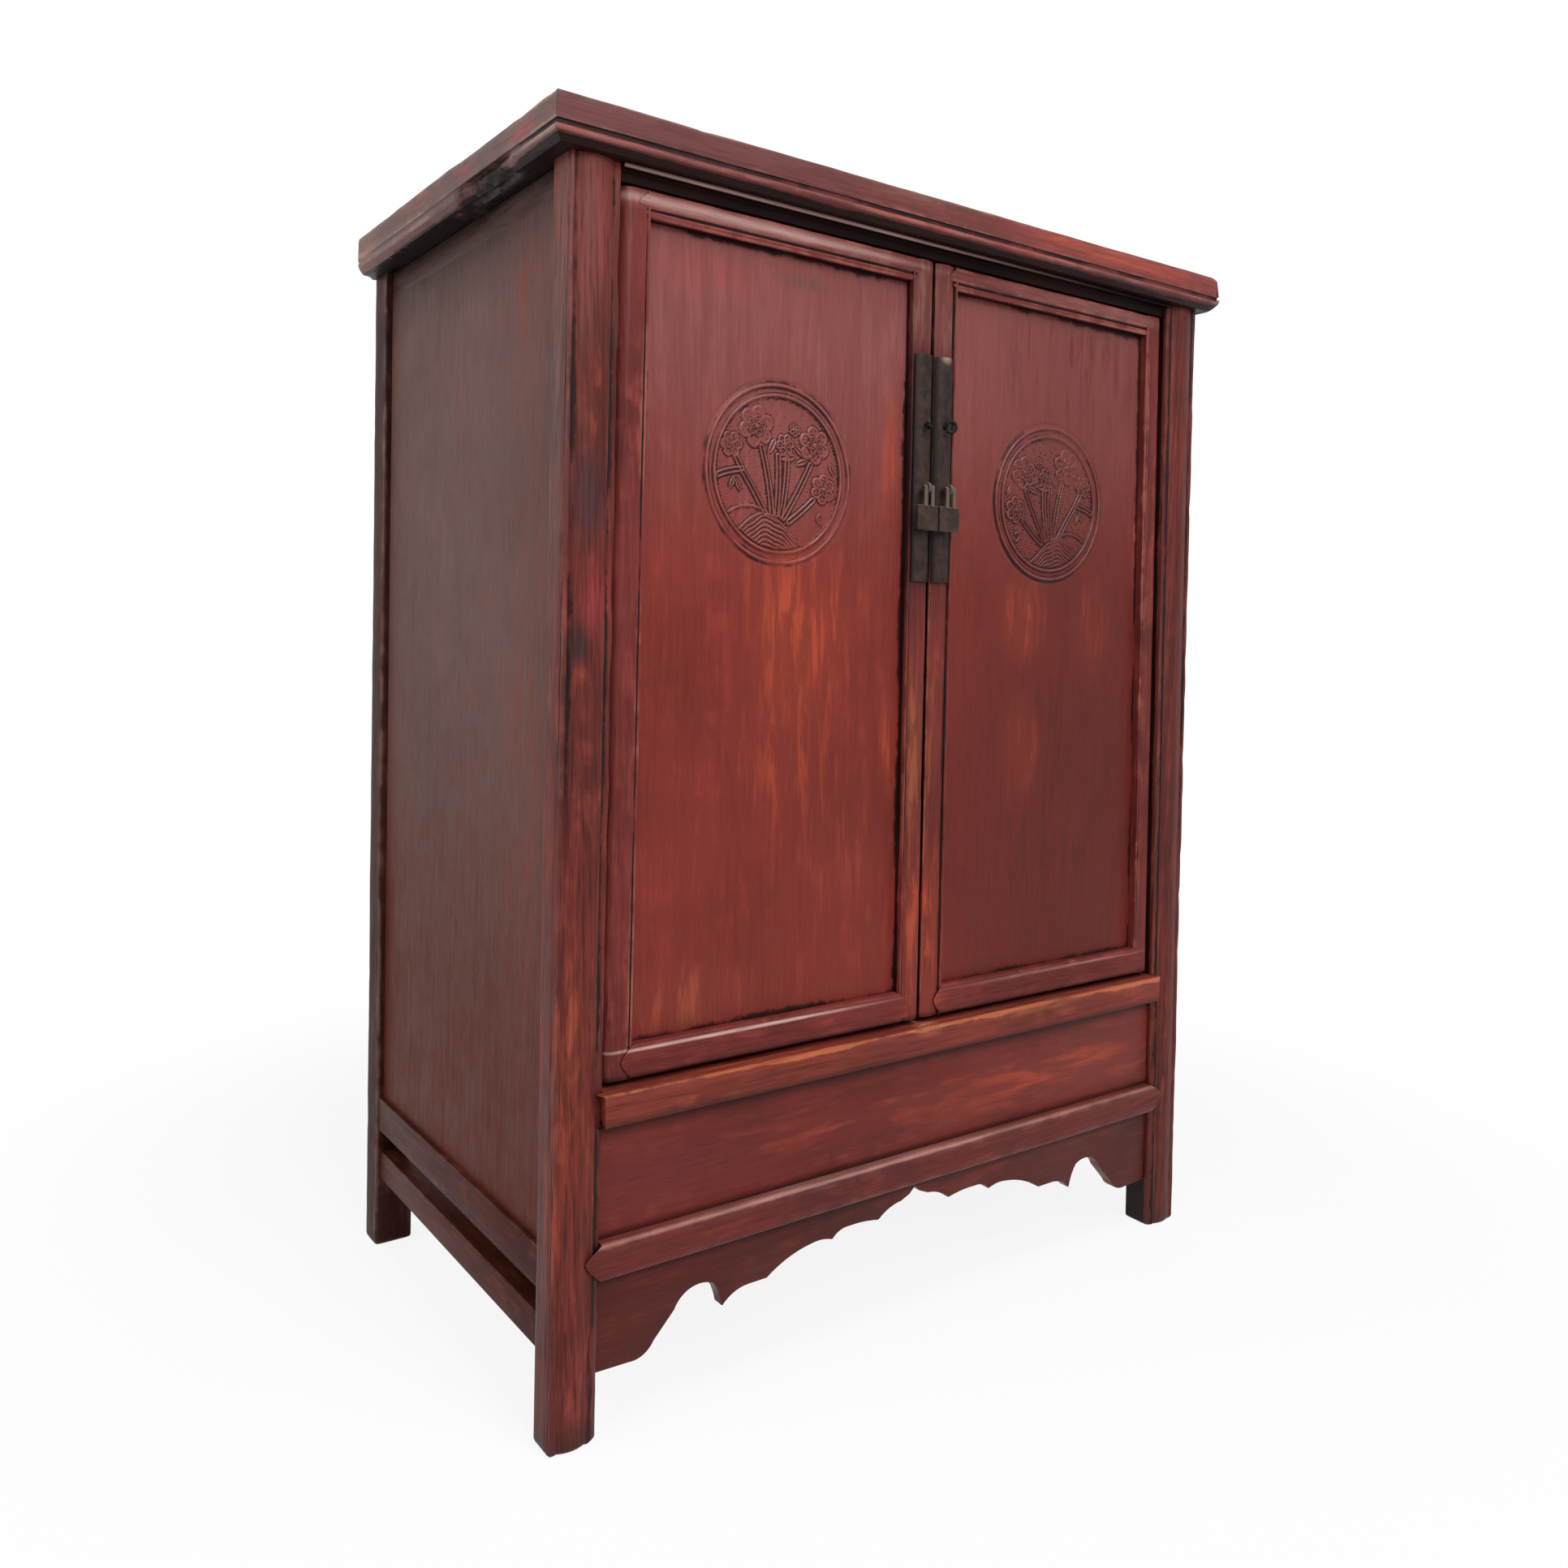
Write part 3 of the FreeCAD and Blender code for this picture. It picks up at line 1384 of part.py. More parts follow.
def check_and_write():
    """See that every object is sound and write each piece to its own file."""
    doc.recompute()
    for item in doc.Objects:
        if "Invalid" in item.State or "Error" in item.State:
            raise RuntimeError("%s of the document is in error" % item.Label)
    os.makedirs("parts", exist_ok=True)
    for piece in parts:
        shape = piece.Shape
        if shape.isNull() or not shape.isValid() or not shape.Solids:
            raise RuntimeError("%s has no sound solid" % piece.Label)
        shape.exportStep("parts/%s.step" % piece.Label)
        print(piece.Label, len(shape.Solids), round(shape.Volume))


fill_sheet()
build_front_post()
build_back_post()
build_top_front()
build_top_side()
build_top_back()
build_top_board()
build_head_rail_front()
build_sill_rail()
build_skirt_panel()
build_lower_rail()
build_apron()
build_side_rails()
build_side_boards()
build_back_rails()
build_back_boards()
build_floor()
build_bottom_board()
build_shelf()
build_hanging_stile()
build_meeting_stile()
build_door_rails()
build_door_panel()
build_door_battens()
build_face_plate()
build_lock_eyes()
build_pull()
check_and_write()
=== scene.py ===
"""A lacquered cabinet with two doors: its worn surfaces, its carving and iron, and a studio view of it."""

import logging
import math
from dataclasses import dataclass, field
from enum import Enum
from typing import Callable, Sequence

import bmesh
import bpy
import numpy as np
from mathutils import Matrix, Vector


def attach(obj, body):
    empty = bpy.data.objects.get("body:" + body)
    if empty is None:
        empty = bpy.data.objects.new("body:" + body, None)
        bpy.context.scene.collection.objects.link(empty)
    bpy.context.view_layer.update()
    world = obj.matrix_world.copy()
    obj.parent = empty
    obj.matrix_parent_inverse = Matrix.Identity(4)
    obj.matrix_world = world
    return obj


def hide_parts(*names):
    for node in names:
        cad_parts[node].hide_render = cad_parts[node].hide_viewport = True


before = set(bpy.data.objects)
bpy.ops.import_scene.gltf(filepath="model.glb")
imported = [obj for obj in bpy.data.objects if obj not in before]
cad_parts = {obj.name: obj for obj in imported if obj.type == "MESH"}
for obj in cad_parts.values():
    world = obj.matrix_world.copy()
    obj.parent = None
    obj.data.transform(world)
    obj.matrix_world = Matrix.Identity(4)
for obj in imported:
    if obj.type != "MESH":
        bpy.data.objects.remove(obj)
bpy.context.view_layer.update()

LOG = logging.getLogger("cabinet")
MM = 0.001
CORNER = math.radians(20.0)
SMOOTH = math.radians(38.0)
Array = np.ndarray
Place = Callable[[Array, Array, Array], tuple[Array, Array, Array]]
Triple = tuple[float, float, float]
Socket = bpy.types.NodeSocket
Value = Socket | float | tuple


# Surfaces

def tone(red: int, green: int, blue: int) -> tuple[float, ...]:
    """Linear shader colour of three screen values from 0 to 255, with full alpha."""
    shares = np.array([red, green, blue]) / 255.0
    return (*np.where(shares <= 0.04045, shares / 12.92, ((shares + 0.055) / 1.055) ** 2.4).tolist(), 1.0)


def held(values: Array | float) -> Array:
    """Values held between 0 and 1."""
    return np.clip(values, 0.0, 1.0)


def bell(distance: Array, half: float) -> Array:
    """Height of a rounded ridge: e to the power of minus the square of distance over half."""
    return np.exp(-(distance / half) ** 2)


def unit(rows: Array) -> Array:
    """Vectors of length one, one row each."""
    return rows / np.maximum(np.linalg.norm(rows, axis=1, keepdims=True), 1e-9)


def curve(foot: Sequence, middle: Sequence, head: Sequence, count: int) -> Array:
    """Points of the curve that leaves foot towards middle and ends at head."""
    share = np.linspace(0.0, 1.0, count)[:, None]
    return (1 - share) ** 2 * np.array(foot) + 2 * share * (1 - share) * np.array(middle) + share ** 2 * np.array(head)


def ripple(across: Array, along: Array, wavelength: float, seed: int) -> Array:
    """Smooth wandering values about 0, mostly within -1 to 1.

    Formula: 1.6 times the mean of eight sines along seeded directions, each with a wavelength
    between 0.6 and 1.8 times the given one.

    Args:
        across: First coordinate of each point.
        along: Second coordinate of each point.
        wavelength: Usual distance from crest to crest.
        seed: Number that chooses the pattern.

    Returns:
        One value for each point.
    """
    rng = np.random.default_rng(seed)
    angles = rng.uniform(0.0, math.tau, 8)
    lengths = wavelength * rng.uniform(0.6, 1.8, 8)
    phases = rng.uniform(0.0, math.tau, 8)
    return sum(np.sin(math.tau * (across * math.cos(angle) + along * math.sin(angle)) / length + phase)
               for angle, length, phase in zip(angles, lengths, phases)) / 8.0 * 1.6


@dataclass
class Section:
    """A closed outline that is carried along a bar, counter-clockwise round the wood.

    Attributes:
        points: The outline's points, one row each.
        edge: How near each point is to an outer arris, from 0 to 1.
        hollow: How near each point is to an inner corner; the coat darkens there with dirt and painted shade.
    """

    points: Array
    edge: Array
    hollow: Array

    def outward(self) -> Array:
        """Unit vectors that point out of the outline at each point."""
        run = unit(np.roll(self.points, -1, axis=0) - np.roll(self.points, 1, axis=0))
        return np.stack([run[:, 1], -run[:, 0]], axis=1)

    def girth(self) -> Array:
        """Distance round the outline to each point."""
        step = np.linalg.norm(np.roll(self.points, -1, axis=0) - self.points, axis=1)
        return np.concatenate([[0.0], np.cumsum(step)[:-1]])

    def shaded_beyond(self, axis: int, start: float, reach: float) -> "Section":
        """The same outline with painted shade that grows up to 1.4 over a reach along one axis, beyond its start."""
        dirt_and_shade = held((self.points[:, axis] - start) / reach) * 1.4
        return Section(self.points, self.edge * (dirt_and_shade < 0.7), np.maximum(self.hollow, dirt_and_shade))


def bowed(start: tuple[float, float], stop: tuple[float, float], bulge: float, count: int = 9) -> list:
    """Points of an arc from start towards stop, without stop.

    Formula: the chord plus an outward offset of bulge times one minus the square of the place
    on the chord, counted from -1 to 1.

    Args:
        start: First end.
        stop: Second end.
        bulge: Height of the arc over its chord, outwards above zero.
        count: Number of steps.

    Returns:
        The points as pairs.
    """
    share = np.arange(count) / count
    chord = np.array(stop) - np.array(start)
    outwards = np.array([chord[1], -chord[0]]) / np.linalg.norm(chord)
    lift = bulge * (1.0 - (2.0 * share - 1.0) ** 2)
    return [tuple(point) for point in np.array(start) + share[:, None] * chord + lift[:, None] * outwards]


def rounded_section(corners: Sequence, radii: Sequence[float], spacing: float) -> Section:
    """An outline with rounded corners and closer points beside them.

    Formula: each corner becomes six points of the circle that touches both its sides; the edge
    value is 4 mm over the radius, at most 1, and falls off beside it as e to the power of minus
    the distance over 3.5 mm. Corners that turn by less than 20 degrees stay as they are.

    Args:
        corners: The outline's corners, counter-clockwise.
        radii: Radius of each corner in millimetres.
        spacing: Largest distance between points of a straight run, in millimetres.

    Returns:
        The section.
    """
    knots, radius = np.array(corners, float), np.array(radii, float) * MM
    count = len(knots)
    arcs, crisp, notch = [], [], []
    for index in range(count):
        into = knots[index] - knots[index - 1]
        out = knots[(index + 1) % count] - knots[index]
        long_in, long_out = np.linalg.norm(into), np.linalg.norm(out)
        into, out = into / long_in, out / long_out
        turn = math.atan2(into[0] * out[1] - into[1] * out[0], float(into @ out))
        crisp.append(float(turn >= CORNER) * min(1.0, 4 * MM / max(float(radius[index]), 1e-6)))
        notch.append(float(turn <= -CORNER))
        if abs(turn) < CORNER or radius[index] <= 0.0:
            arcs.append(knots[index][None, :])
            continue
        reach = min(radius[index] * math.tan(abs(turn) / 2.0), 0.48 * long_in, 0.48 * long_out)
        start = knots[index] - into * reach
        size = math.copysign(reach / math.tan(abs(turn) / 2.0), turn)
        centre = start + size * np.array([-into[1], into[0]])
        sweep, spoke = np.linspace(0.0, turn, 6), start - centre
        arcs.append(centre + np.stack([spoke[0] * np.cos(sweep) - spoke[1] * np.sin(sweep),
                                       spoke[0] * np.sin(sweep) + spoke[1] * np.cos(sweep)], axis=1))
    points, edge, hollow = [], [], []
    for index, arc in enumerate(arcs):
        after = (index + 1) % count
        points.append(arc)
        edge.append(np.full(len(arc), crisp[index]))
        hollow.append(np.full(len(arc), notch[index]))
        start, stop = arc[-1], arcs[after][0]
        length = float(np.linalg.norm(stop - start))
        if length < 1.6 * MM:
            continue
        places = [place for place in (1.2 * MM, 3.5 * MM, 7.5 * MM) if place < 0.42 * length]
        last = places[-1] if places else 0.0
        inner = length - 2.0 * last
        filler = np.linspace(0.0, 1.0, max(2, math.ceil(inner / (spacing * MM))) + 1)[1:-1] * inner
        run = np.concatenate([places, last + filler, length - np.array(places[::-1])])
        points.append(start + run[:, None] / length * (stop - start))
        fall_start, fall_stop = np.exp(-run / (3.5 * MM)), np.exp(-(length - run) / (3.5 * MM))
        edge.append(np.maximum(fall_start * crisp[index], fall_stop * crisp[after]))
        hollow.append(np.maximum(fall_start * notch[index], fall_stop * notch[after]))
    return Section(np.concatenate(points), np.concatenate(edge), np.concatenate(hollow))


@dataclass(frozen=True)
class Wear:
    """How far age has taken a bar away from its true shape, in millimetres.

    Attributes:
        rub: Depth by which every arris is rubbed down.
        chip: Depth of the deepest chips in an arris.
        sway: Height of the long waves in every face.
        end_round: Rounding of the first and of the last end.
        seed: Number that chooses the pattern.
    """

    rub: float
    chip: float
    sway: float
    end_round: tuple[float, float] = (0.0, 0.0)
    seed: int = 1


@dataclass
class Surface:
    """A closed mesh in the making.

    Attributes:
        points: Vertex places, one row each.
        faces: Corner numbers of each face.
        masks: Named values for each vertex.
    """

    points: Array
    faces: list
    masks: dict[str, Array] = field(default_factory=dict)

    def faced(self) -> "Surface":
        """This surface with its faces turned outwards where its volume is below zero.

        Formula: the volume is a sixth of the sum, over a fan of triangles, of the box product
        of the corners.

        Returns:
            This surface.
        """
        fans = np.array([(face[0], face[k], face[k + 1]) for face in self.faces for k in range(1, len(face) - 1)])
        first, second, third = (self.points[fans[:, k]] for k in range(3))
        if np.einsum("ij,ij->i", first, np.cross(second, third)).sum() < 0.0:
            self.faces = [face[::-1] for face in self.faces]
        return self

    def joined(self, other: "Surface") -> "Surface":
        """This surface and another one in one mesh.

        Args:
            other: The surface to add.

        Returns:
            A new surface.
        """
        shift = len(self.points)
        masks = {name: np.concatenate([self.masks.get(name, np.zeros(shift)),
                                       other.masks.get(name, np.zeros(len(other.points)))])
                 for name in {**self.masks, **other.masks}}
        faces = list(self.faces) + [tuple(corner + shift for corner in face) for face in other.faces]
        return Surface(np.concatenate([self.points, other.points]), faces, masks)

    def outlined(self, count: int) -> "Surface":
        """The same bar, of so many points a ring, with painted shade along the rims of both ends.

        Args:
            count: Number of points of its outline.

        Returns:
            This surface.
        """
        rows = self.masks["hollow"].reshape(-1, count)
        rows[:3] = rows[-3:] = 1.3
        return self

    def mirrored(self) -> "Surface":
        """The right-hand twin, with its faces turned the right way again."""
        return Surface(self.points * np.array([-1.0, 1.0, 1.0]), [face[::-1] for face in self.faces], self.masks)

    def mesh(self, name: str) -> bpy.types.Mesh:
        """The surface as a mesh with its masks.

        Args:
            name: Name of the mesh.

        Returns:
            The mesh.
        """
        mesh = bpy.data.meshes.new(name)
        mesh.from_pydata(self.points.tolist(), [], self.faces)
        for mask, values in self.masks.items():
            keep_mask(mesh, mask, values)
        return mesh


def keep_mask(mesh: bpy.types.Mesh, name: str, values: Array) -> None:
    """Keep a value for each vertex on a mesh."""
    mesh.attributes.new(name, "FLOAT", "POINT").data.foreach_set("value", values.astype(np.float32))


def grid_faces(rows: int, columns: int, tube: bool) -> list:
    """Four-cornered faces of a grid of points.

    Args:
        rows: Number of rows.
        columns: Number of points in a row.
        tube: Whether the last column joins the first and a face closes each end.

    Returns:
        Corner numbers of each face.
    """
    row, column = np.meshgrid(np.arange(rows - 1), np.arange(columns if tube else columns - 1), indexing="ij")
    after = (column + 1) % columns
    quads = np.stack([row * columns + column, row * columns + after,
                      (row + 1) * columns + after, (row + 1) * columns + column], axis=-1)
    ends = [tuple(range(columns))[::-1], tuple(range((rows - 1) * columns, rows * columns))] if tube else []
    return [tuple(quad) for quad in quads.reshape(-1, 4).tolist()] + ends


def swept(section: Section, starts: Array | float, ends: Array | float, place: Place, wear: Wear,
          step: float = 14.0) -> Surface:
    """A bar: a section carried along a line, with worn arrises and slightly wavy faces.

    Formula: point (t, m) lies at the along value start plus t times the length of its own line
    m, and is moved inwards by the rub and chips times its edge value, plus the sway; near both
    ends the whole outline shrinks towards its middle by the depth of a quarter circle.

    Args:
        section: The outline.
        starts: Along value of the first end, for each outline point or for all.
        ends: Along value of the second end, likewise.
        place: Turns arrays of along, first and second section coordinate into x, y and z.
        wear: The wear.
        step: Usual distance between two outlines, in millimetres.

    Returns:
        The closed surface with its edge and hollow masks.
    """
    count = len(section.points)
    first, last = (np.broadcast_to(np.asarray(end, float), (count,)) for end in (starts, ends))
    length = float(np.abs(last - first).max())
    rounding = [radius * MM for radius in wear.end_round]
    near = np.array([0.0, 0.04, 0.12, 0.25, 0.45, 0.7, 1.0]) / length
    share = np.unique(np.concatenate([np.linspace(0.0, 1.0, max(3, math.ceil(length / (step * MM)))),
                                      near * rounding[0], 1.0 - near * rounding[1]]).round(7))[:, None]
    along = first + share * (last - first)
    girth = section.girth()[None, :]
    chips = held(ripple(girth * 2.0, along, 45 * MM, wear.seed) - 0.25)
    chips = chips * held(ripple(girth, along, 260 * MM, wear.seed + 7) + 0.5)
    rub = wear.rub * MM * (1.0 + ripple(girth, along, 90 * MM, wear.seed + 3))
    sway = wear.sway * MM * (0.5 + 0.5 * ripple(girth * 0.6, along, 320 * MM, wear.seed + 5))
    depth = section.edge * (rub + wear.chip * MM * chips) + sway
    edge, inset = np.broadcast_to(section.edge, along.shape), np.zeros_like(share)
    for radius, gap in zip(rounding, (share * length, (1.0 - share) * length)):
        if radius > 0.0:
            left = np.clip(radius - gap, 0.0, radius)
            inset = inset + radius - np.sqrt(radius ** 2 - left ** 2)
            edge = np.maximum(edge, left / radius)
    outward = section.outward()
    low, high = section.points.min(axis=0), section.points.max(axis=0)
    middle, half = (low + high) / 2.0, (high - low) / 2.0
    across, up = (middle[axis] + (section.points[:, axis] - outward[:, axis] * depth - middle[axis])
                  * (1.0 - np.minimum(inset / half[axis], 0.7)) for axis in range(2))
    masks = {"edge": edge.reshape(-1), "hollow": np.tile(section.hollow, len(share))}
    points = np.stack(place(along, across, up), axis=-1).reshape(-1, 3)
    return Surface(points, grid_faces(len(share), count, True), masks).faced()


def wire(path: Array, radius: float, side: Triple, sides: int) -> Surface:
    """A round wire along a path that lies in one plane.

    Formula: at each path point a circle spanned by the plane's normal and by the normal of the
    path in the plane.

    Args:
        path: Points of the path, one row each.
        radius: Radius of the wire.
        side: Unit normal of the path's plane.
        sides: Number of points round the wire.

    Returns:
        The closed surface.
    """
    inward = np.cross(side, unit(np.gradient(path, axis=0)))
    angle = np.linspace(0.0, math.tau, sides, endpoint=False)[None, :, None]
    rings = path[:, None, :] + radius * (np.cos(angle) * np.array(side) + np.sin(angle) * inward[:, None, :])
    return Surface(rings.reshape(-1, 3), grid_faces(len(path), sides, True)).faced()


def softened_copy(node: str, name: str, radius: float) -> bpy.types.Mesh:
    """A copy of a plain node's mesh with rounded arrises and an edge mask along them.

    Formula of the mask: one minus the largest cosine between a vertex's normal and the normals
    of the node's eight largest groups of faces, over 0.2, held between 0 and 1.

    Args:
        node: Name of the node.
        name: Name of the mesh.
        radius: Rounding of the arrises.

    Returns:
        The mesh.
    """
    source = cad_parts[node].data
    shape = bmesh.new()
    shape.from_mesh(source)
    bmesh.ops.remove_doubles(shape, verts=shape.verts, dist=0.01 * MM)
    bmesh.ops.dissolve_limit(shape, angle_limit=math.radians(0.5), verts=shape.verts, edges=shape.edges)
    sharp = [edge for edge in shape.edges
             if len(edge.link_faces) == 2 and edge.calc_face_angle(0.0) > math.radians(35.0)]
    bmesh.ops.bevel(shape, geom=sharp, offset=radius, segments=3, profile=0.5, affect="EDGES", clamp_overlap=True)
    mesh = bpy.data.meshes.new(name)
    shape.to_mesh(mesh)
    shape.free()
    original = np.array([face.normal for face in source.polygons])
    areas = np.array([face.area for face in source.polygons])
    groups, member = np.unique(original.round(1), axis=0, return_inverse=True)
    member = member.reshape(-1)
    largest = np.argsort(np.bincount(member, areas, len(groups)))[::-1][:8]
    main = unit(np.stack([(original[member == group] * areas[member == group, None]).sum(0) for group in largest]))
    normals = np.array([vertex.normal for vertex in mesh.vertices])
    keep_mask(mesh, "edge", held((1.0 - (normals @ main.T).max(axis=1)) / 0.2))
    return mesh


def seat(title: str, shape: Surface | bpy.types.Mesh, finish: bpy.types.Material, body: str,
         node: str) -> None:
    """Make a piece, smooth except over sharp arrises, let it ride in place of a node and report it.

    Args:
        title: Name of the piece.
        shape: Its shape.
        finish: Its material.
        body: Name of the body.
        node: Name of the node that it stands for.
    """
    mesh = shape.mesh(title) if isinstance(shape, Surface) else shape
    mesh.shade_smooth()
    mesh.set_sharp_from_angle(angle=SMOOTH)
    mesh.materials.clear()
    mesh.materials.append(finish)
    piece = linked(title, mesh)
    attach(piece, body)
    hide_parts(node)
    LOG.info("%s rides on %s in place of %s: %d faces", title, body, node, len(mesh.polygons))


def linked(name: str, data: bpy.types.ID) -> bpy.types.Object:
    """An object of a mesh, lamp or camera, linked to the scene.

    Args:
        name: Name of the object.
        data: What it shows.

    Returns:
        The object.
    """
    made = bpy.data.objects.new(name, data)
    bpy.context.scene.collection.objects.link(made)
    return made


# Finishes

class Way(Enum):
    """Direction in which the grain of a piece runs: number of the axis."""

    CROSSWISE = 0
    DEPTHWISE = 1
    UPRIGHT = 2

    def squeeze(self, share: float) -> tuple[float, ...]:
        """Scale of a pattern that is drawn out along the grain, with the share on that axis."""
        return tuple(share if axis == self.value else 1.0 for axis in range(3))


class Sheet:
    """A node tree with short calls for the nodes that the finishes share."""

    def __init__(self, tree: bpy.types.NodeTree) -> None:
        """Keep the tree to add to."""
        self.tree = tree

    @classmethod
    def blank(cls, owner: bpy.types.Material | bpy.types.World) -> "Sheet":
        """The emptied tree of a material or world.

        Args:
            owner: The material or world.

        Returns:
            Its sheet.
        """
        owner.use_nodes = True
        owner.node_tree.nodes.clear()
        return cls(owner.node_tree)

    def feed(self, target: Socket, value: Value) -> None:
        """Join a socket to a target, or write a plain value into it.

        Args:
            target: Input socket.
            value: Output socket or plain value.
        """
        if isinstance(value, Socket):
            self.tree.links.new(value, target)
        else:
            target.default_value = value

    def node(self, kind: str, settings: dict | None = None, numbered: dict | None = None,
             **named: Value) -> bpy.types.Node:
        """Add a node with its settings and fill or join its inputs.

        Args:
            kind: Type name of the node without its ShaderNode prefix.
            settings: Settings by name.
            numbered: Values or sockets by input number.
            named: Values or sockets by input name, with _ for a space.

        Returns:
            The node.
        """
        made = self.tree.nodes.new("ShaderNode" + kind)
        for name, value in (settings or {}).items():
            setattr(made, name, value)
        for name, value in [*(numbered or {}).items(), *named.items()]:
            self.feed(made.inputs[name if isinstance(name, int) else name.replace("_", " ")], value)
        return made

    def total(self, *parts: Value, clamp: bool = False) -> Socket:
        """The sum of some parts, each a value or a pair of factors.

        Args:
            parts: Values, sockets or pairs of them.
            clamp: Whether to hold the sum between 0 and 1.

        Returns:
            The sum's socket.
        """
        result = 0.0
        for part in parts:
            first, second = part if isinstance(part, tuple) else (part, 1.0)
            made = self.node("Math", {"operation": "MULTIPLY_ADD"}, {0: first, 1: second, 2: result})
            result = made.outputs[0]
        made.use_clamp = clamp
        return result

    def vector(self, operation: str, *vectors: Value) -> Socket:
        """A difference, quotient or length of vectors."""
        made = self.node("VectorMath", {"operation": operation}, dict(enumerate(vectors)))
        return made.outputs["Value" if operation == "LENGTH" else "Vector"]

    def span(self, value: Value, low: float, high: float, start: float = 0.0, stop: float = 1.0) -> Socket:
        """A value stretched softly from the span low to high to the span start to stop, and held inside it."""
        return self.node("MapRange", {"interpolation_type": "SMOOTHSTEP"}, Value=value, From_Min=low, From_Max=high,
                         To_Min=start, To_Max=stop).outputs["Result"]

    def mix(self, share: Value, first: Value, second: Value, kind: str = "MIX") -> Socket:
        """A colour between two colours, with the given share of the second."""
        return self.node("Mix", {"data_type": "RGBA", "blend_type": kind, "clamp_factor": True},
                         {0: share, 6: first, 7: second}).outputs[2]

    def noise(self, vector: Value, scale: float, detail: float = 3.0, twist: float = 0.0,
              rough: float = 0.5) -> Socket:
        """A wandering value about a half, with so many waves per unit, finer layers, distortion and roughness."""
        return self.node("TexNoise", Vector=vector, Scale=scale, Detail=detail, Distortion=twist,
                         Roughness=rough).outputs[0]

    def mask(self, name: str) -> Socket:
        """A value that the mesh keeps for each vertex."""
        return self.node("Attribute", {"attribute_name": name}).outputs["Fac"]

    def looked_at(self) -> Socket:
        """One for rays from the camera and for those that come by way of a mirror or glass, else zero."""
        path = self.node("LightPath").outputs
        return self.total(path["Is Camera Ray"], path["Is Glossy Ray"], path["Is Transmission Ray"], clamp=True)

    def placed(self, group: bpy.types.NodeTree, **inputs: Value) -> "bpy.types.NodeOutputs":
        """The outputs of a group that is placed with some inputs."""
        return self.node("Group", {"node_tree": group}, **inputs).outputs

    def spotted(self, effects: "Effects", spot: "Spot", place: Socket, streaks: Socket, colour: Socket) -> Socket:
        """A colour with one spot laid over it at its place, broken up by streaks."""
        cover = self.placed(effects.spot, Vector=place, Centre=spot.centre, Reach=spot.reach, Streaks=streaks,
                            Breaks=spot.breaks, Strength=spot.strength)["Mask"]
        return self.mix(cover, colour, tone(*spot.colour))

    def close(self, material: bpy.types.Material, relief: Socket, strength: float,
              **inputs: Value) -> bpy.types.Material:
        """Finish a material with a relief and a surface shader.

        Args:
            material: The material.
            relief: Socket of the relief's height.
            strength: Strength of the relief.
            inputs: Values or sockets of the surface shader, with _ for a space.

        Returns:
            The material.
        """
        bump = self.node("Bump", Height=relief, Strength=strength, Distance=0.5 * MM)
        shader = self.node("BsdfPrincipled", Normal=bump.outputs[0], **inputs)
        self.node("OutputMaterial", Surface=shader.outputs[0])
        return material

    def shown(self, share: Value, plain: bpy.types.Node, seen: bpy.types.Node, kind: str) -> None:
        """Finish a Material or World with a mixture of a plain shader and a share of the one that is seen."""
        both = self.node("MixShader", None, {0: share, 1: plain.outputs[0], 2: seen.outputs[0]})
        self.node("Output" + kind, Surface=both.outputs[0])


def new_group(name: str, inputs: dict[str, str], outputs: Sequence[str]) -> tuple:
    """An empty shader group.

    Args:
        name: Name of the group.
        inputs: Kind of each input by its name: Float or Vector.
        outputs: Names of the outputs, all values.

    Returns:
        Its sheet, the sockets of its inputs and those of its outputs, by name.
    """
    tree = bpy.data.node_groups.new(name, "ShaderNodeTree")
    for title, kind in inputs.items():
        tree.interface.new_socket(title, in_out="INPUT", socket_type="NodeSocket" + kind)
    for title in outputs:
        tree.interface.new_socket(title, in_out="OUTPUT", socket_type="NodeSocketFloat")
    return Sheet(tree), tree.nodes.new("NodeGroupInput").outputs, tree.nodes.new("NodeGroupOutput").inputs


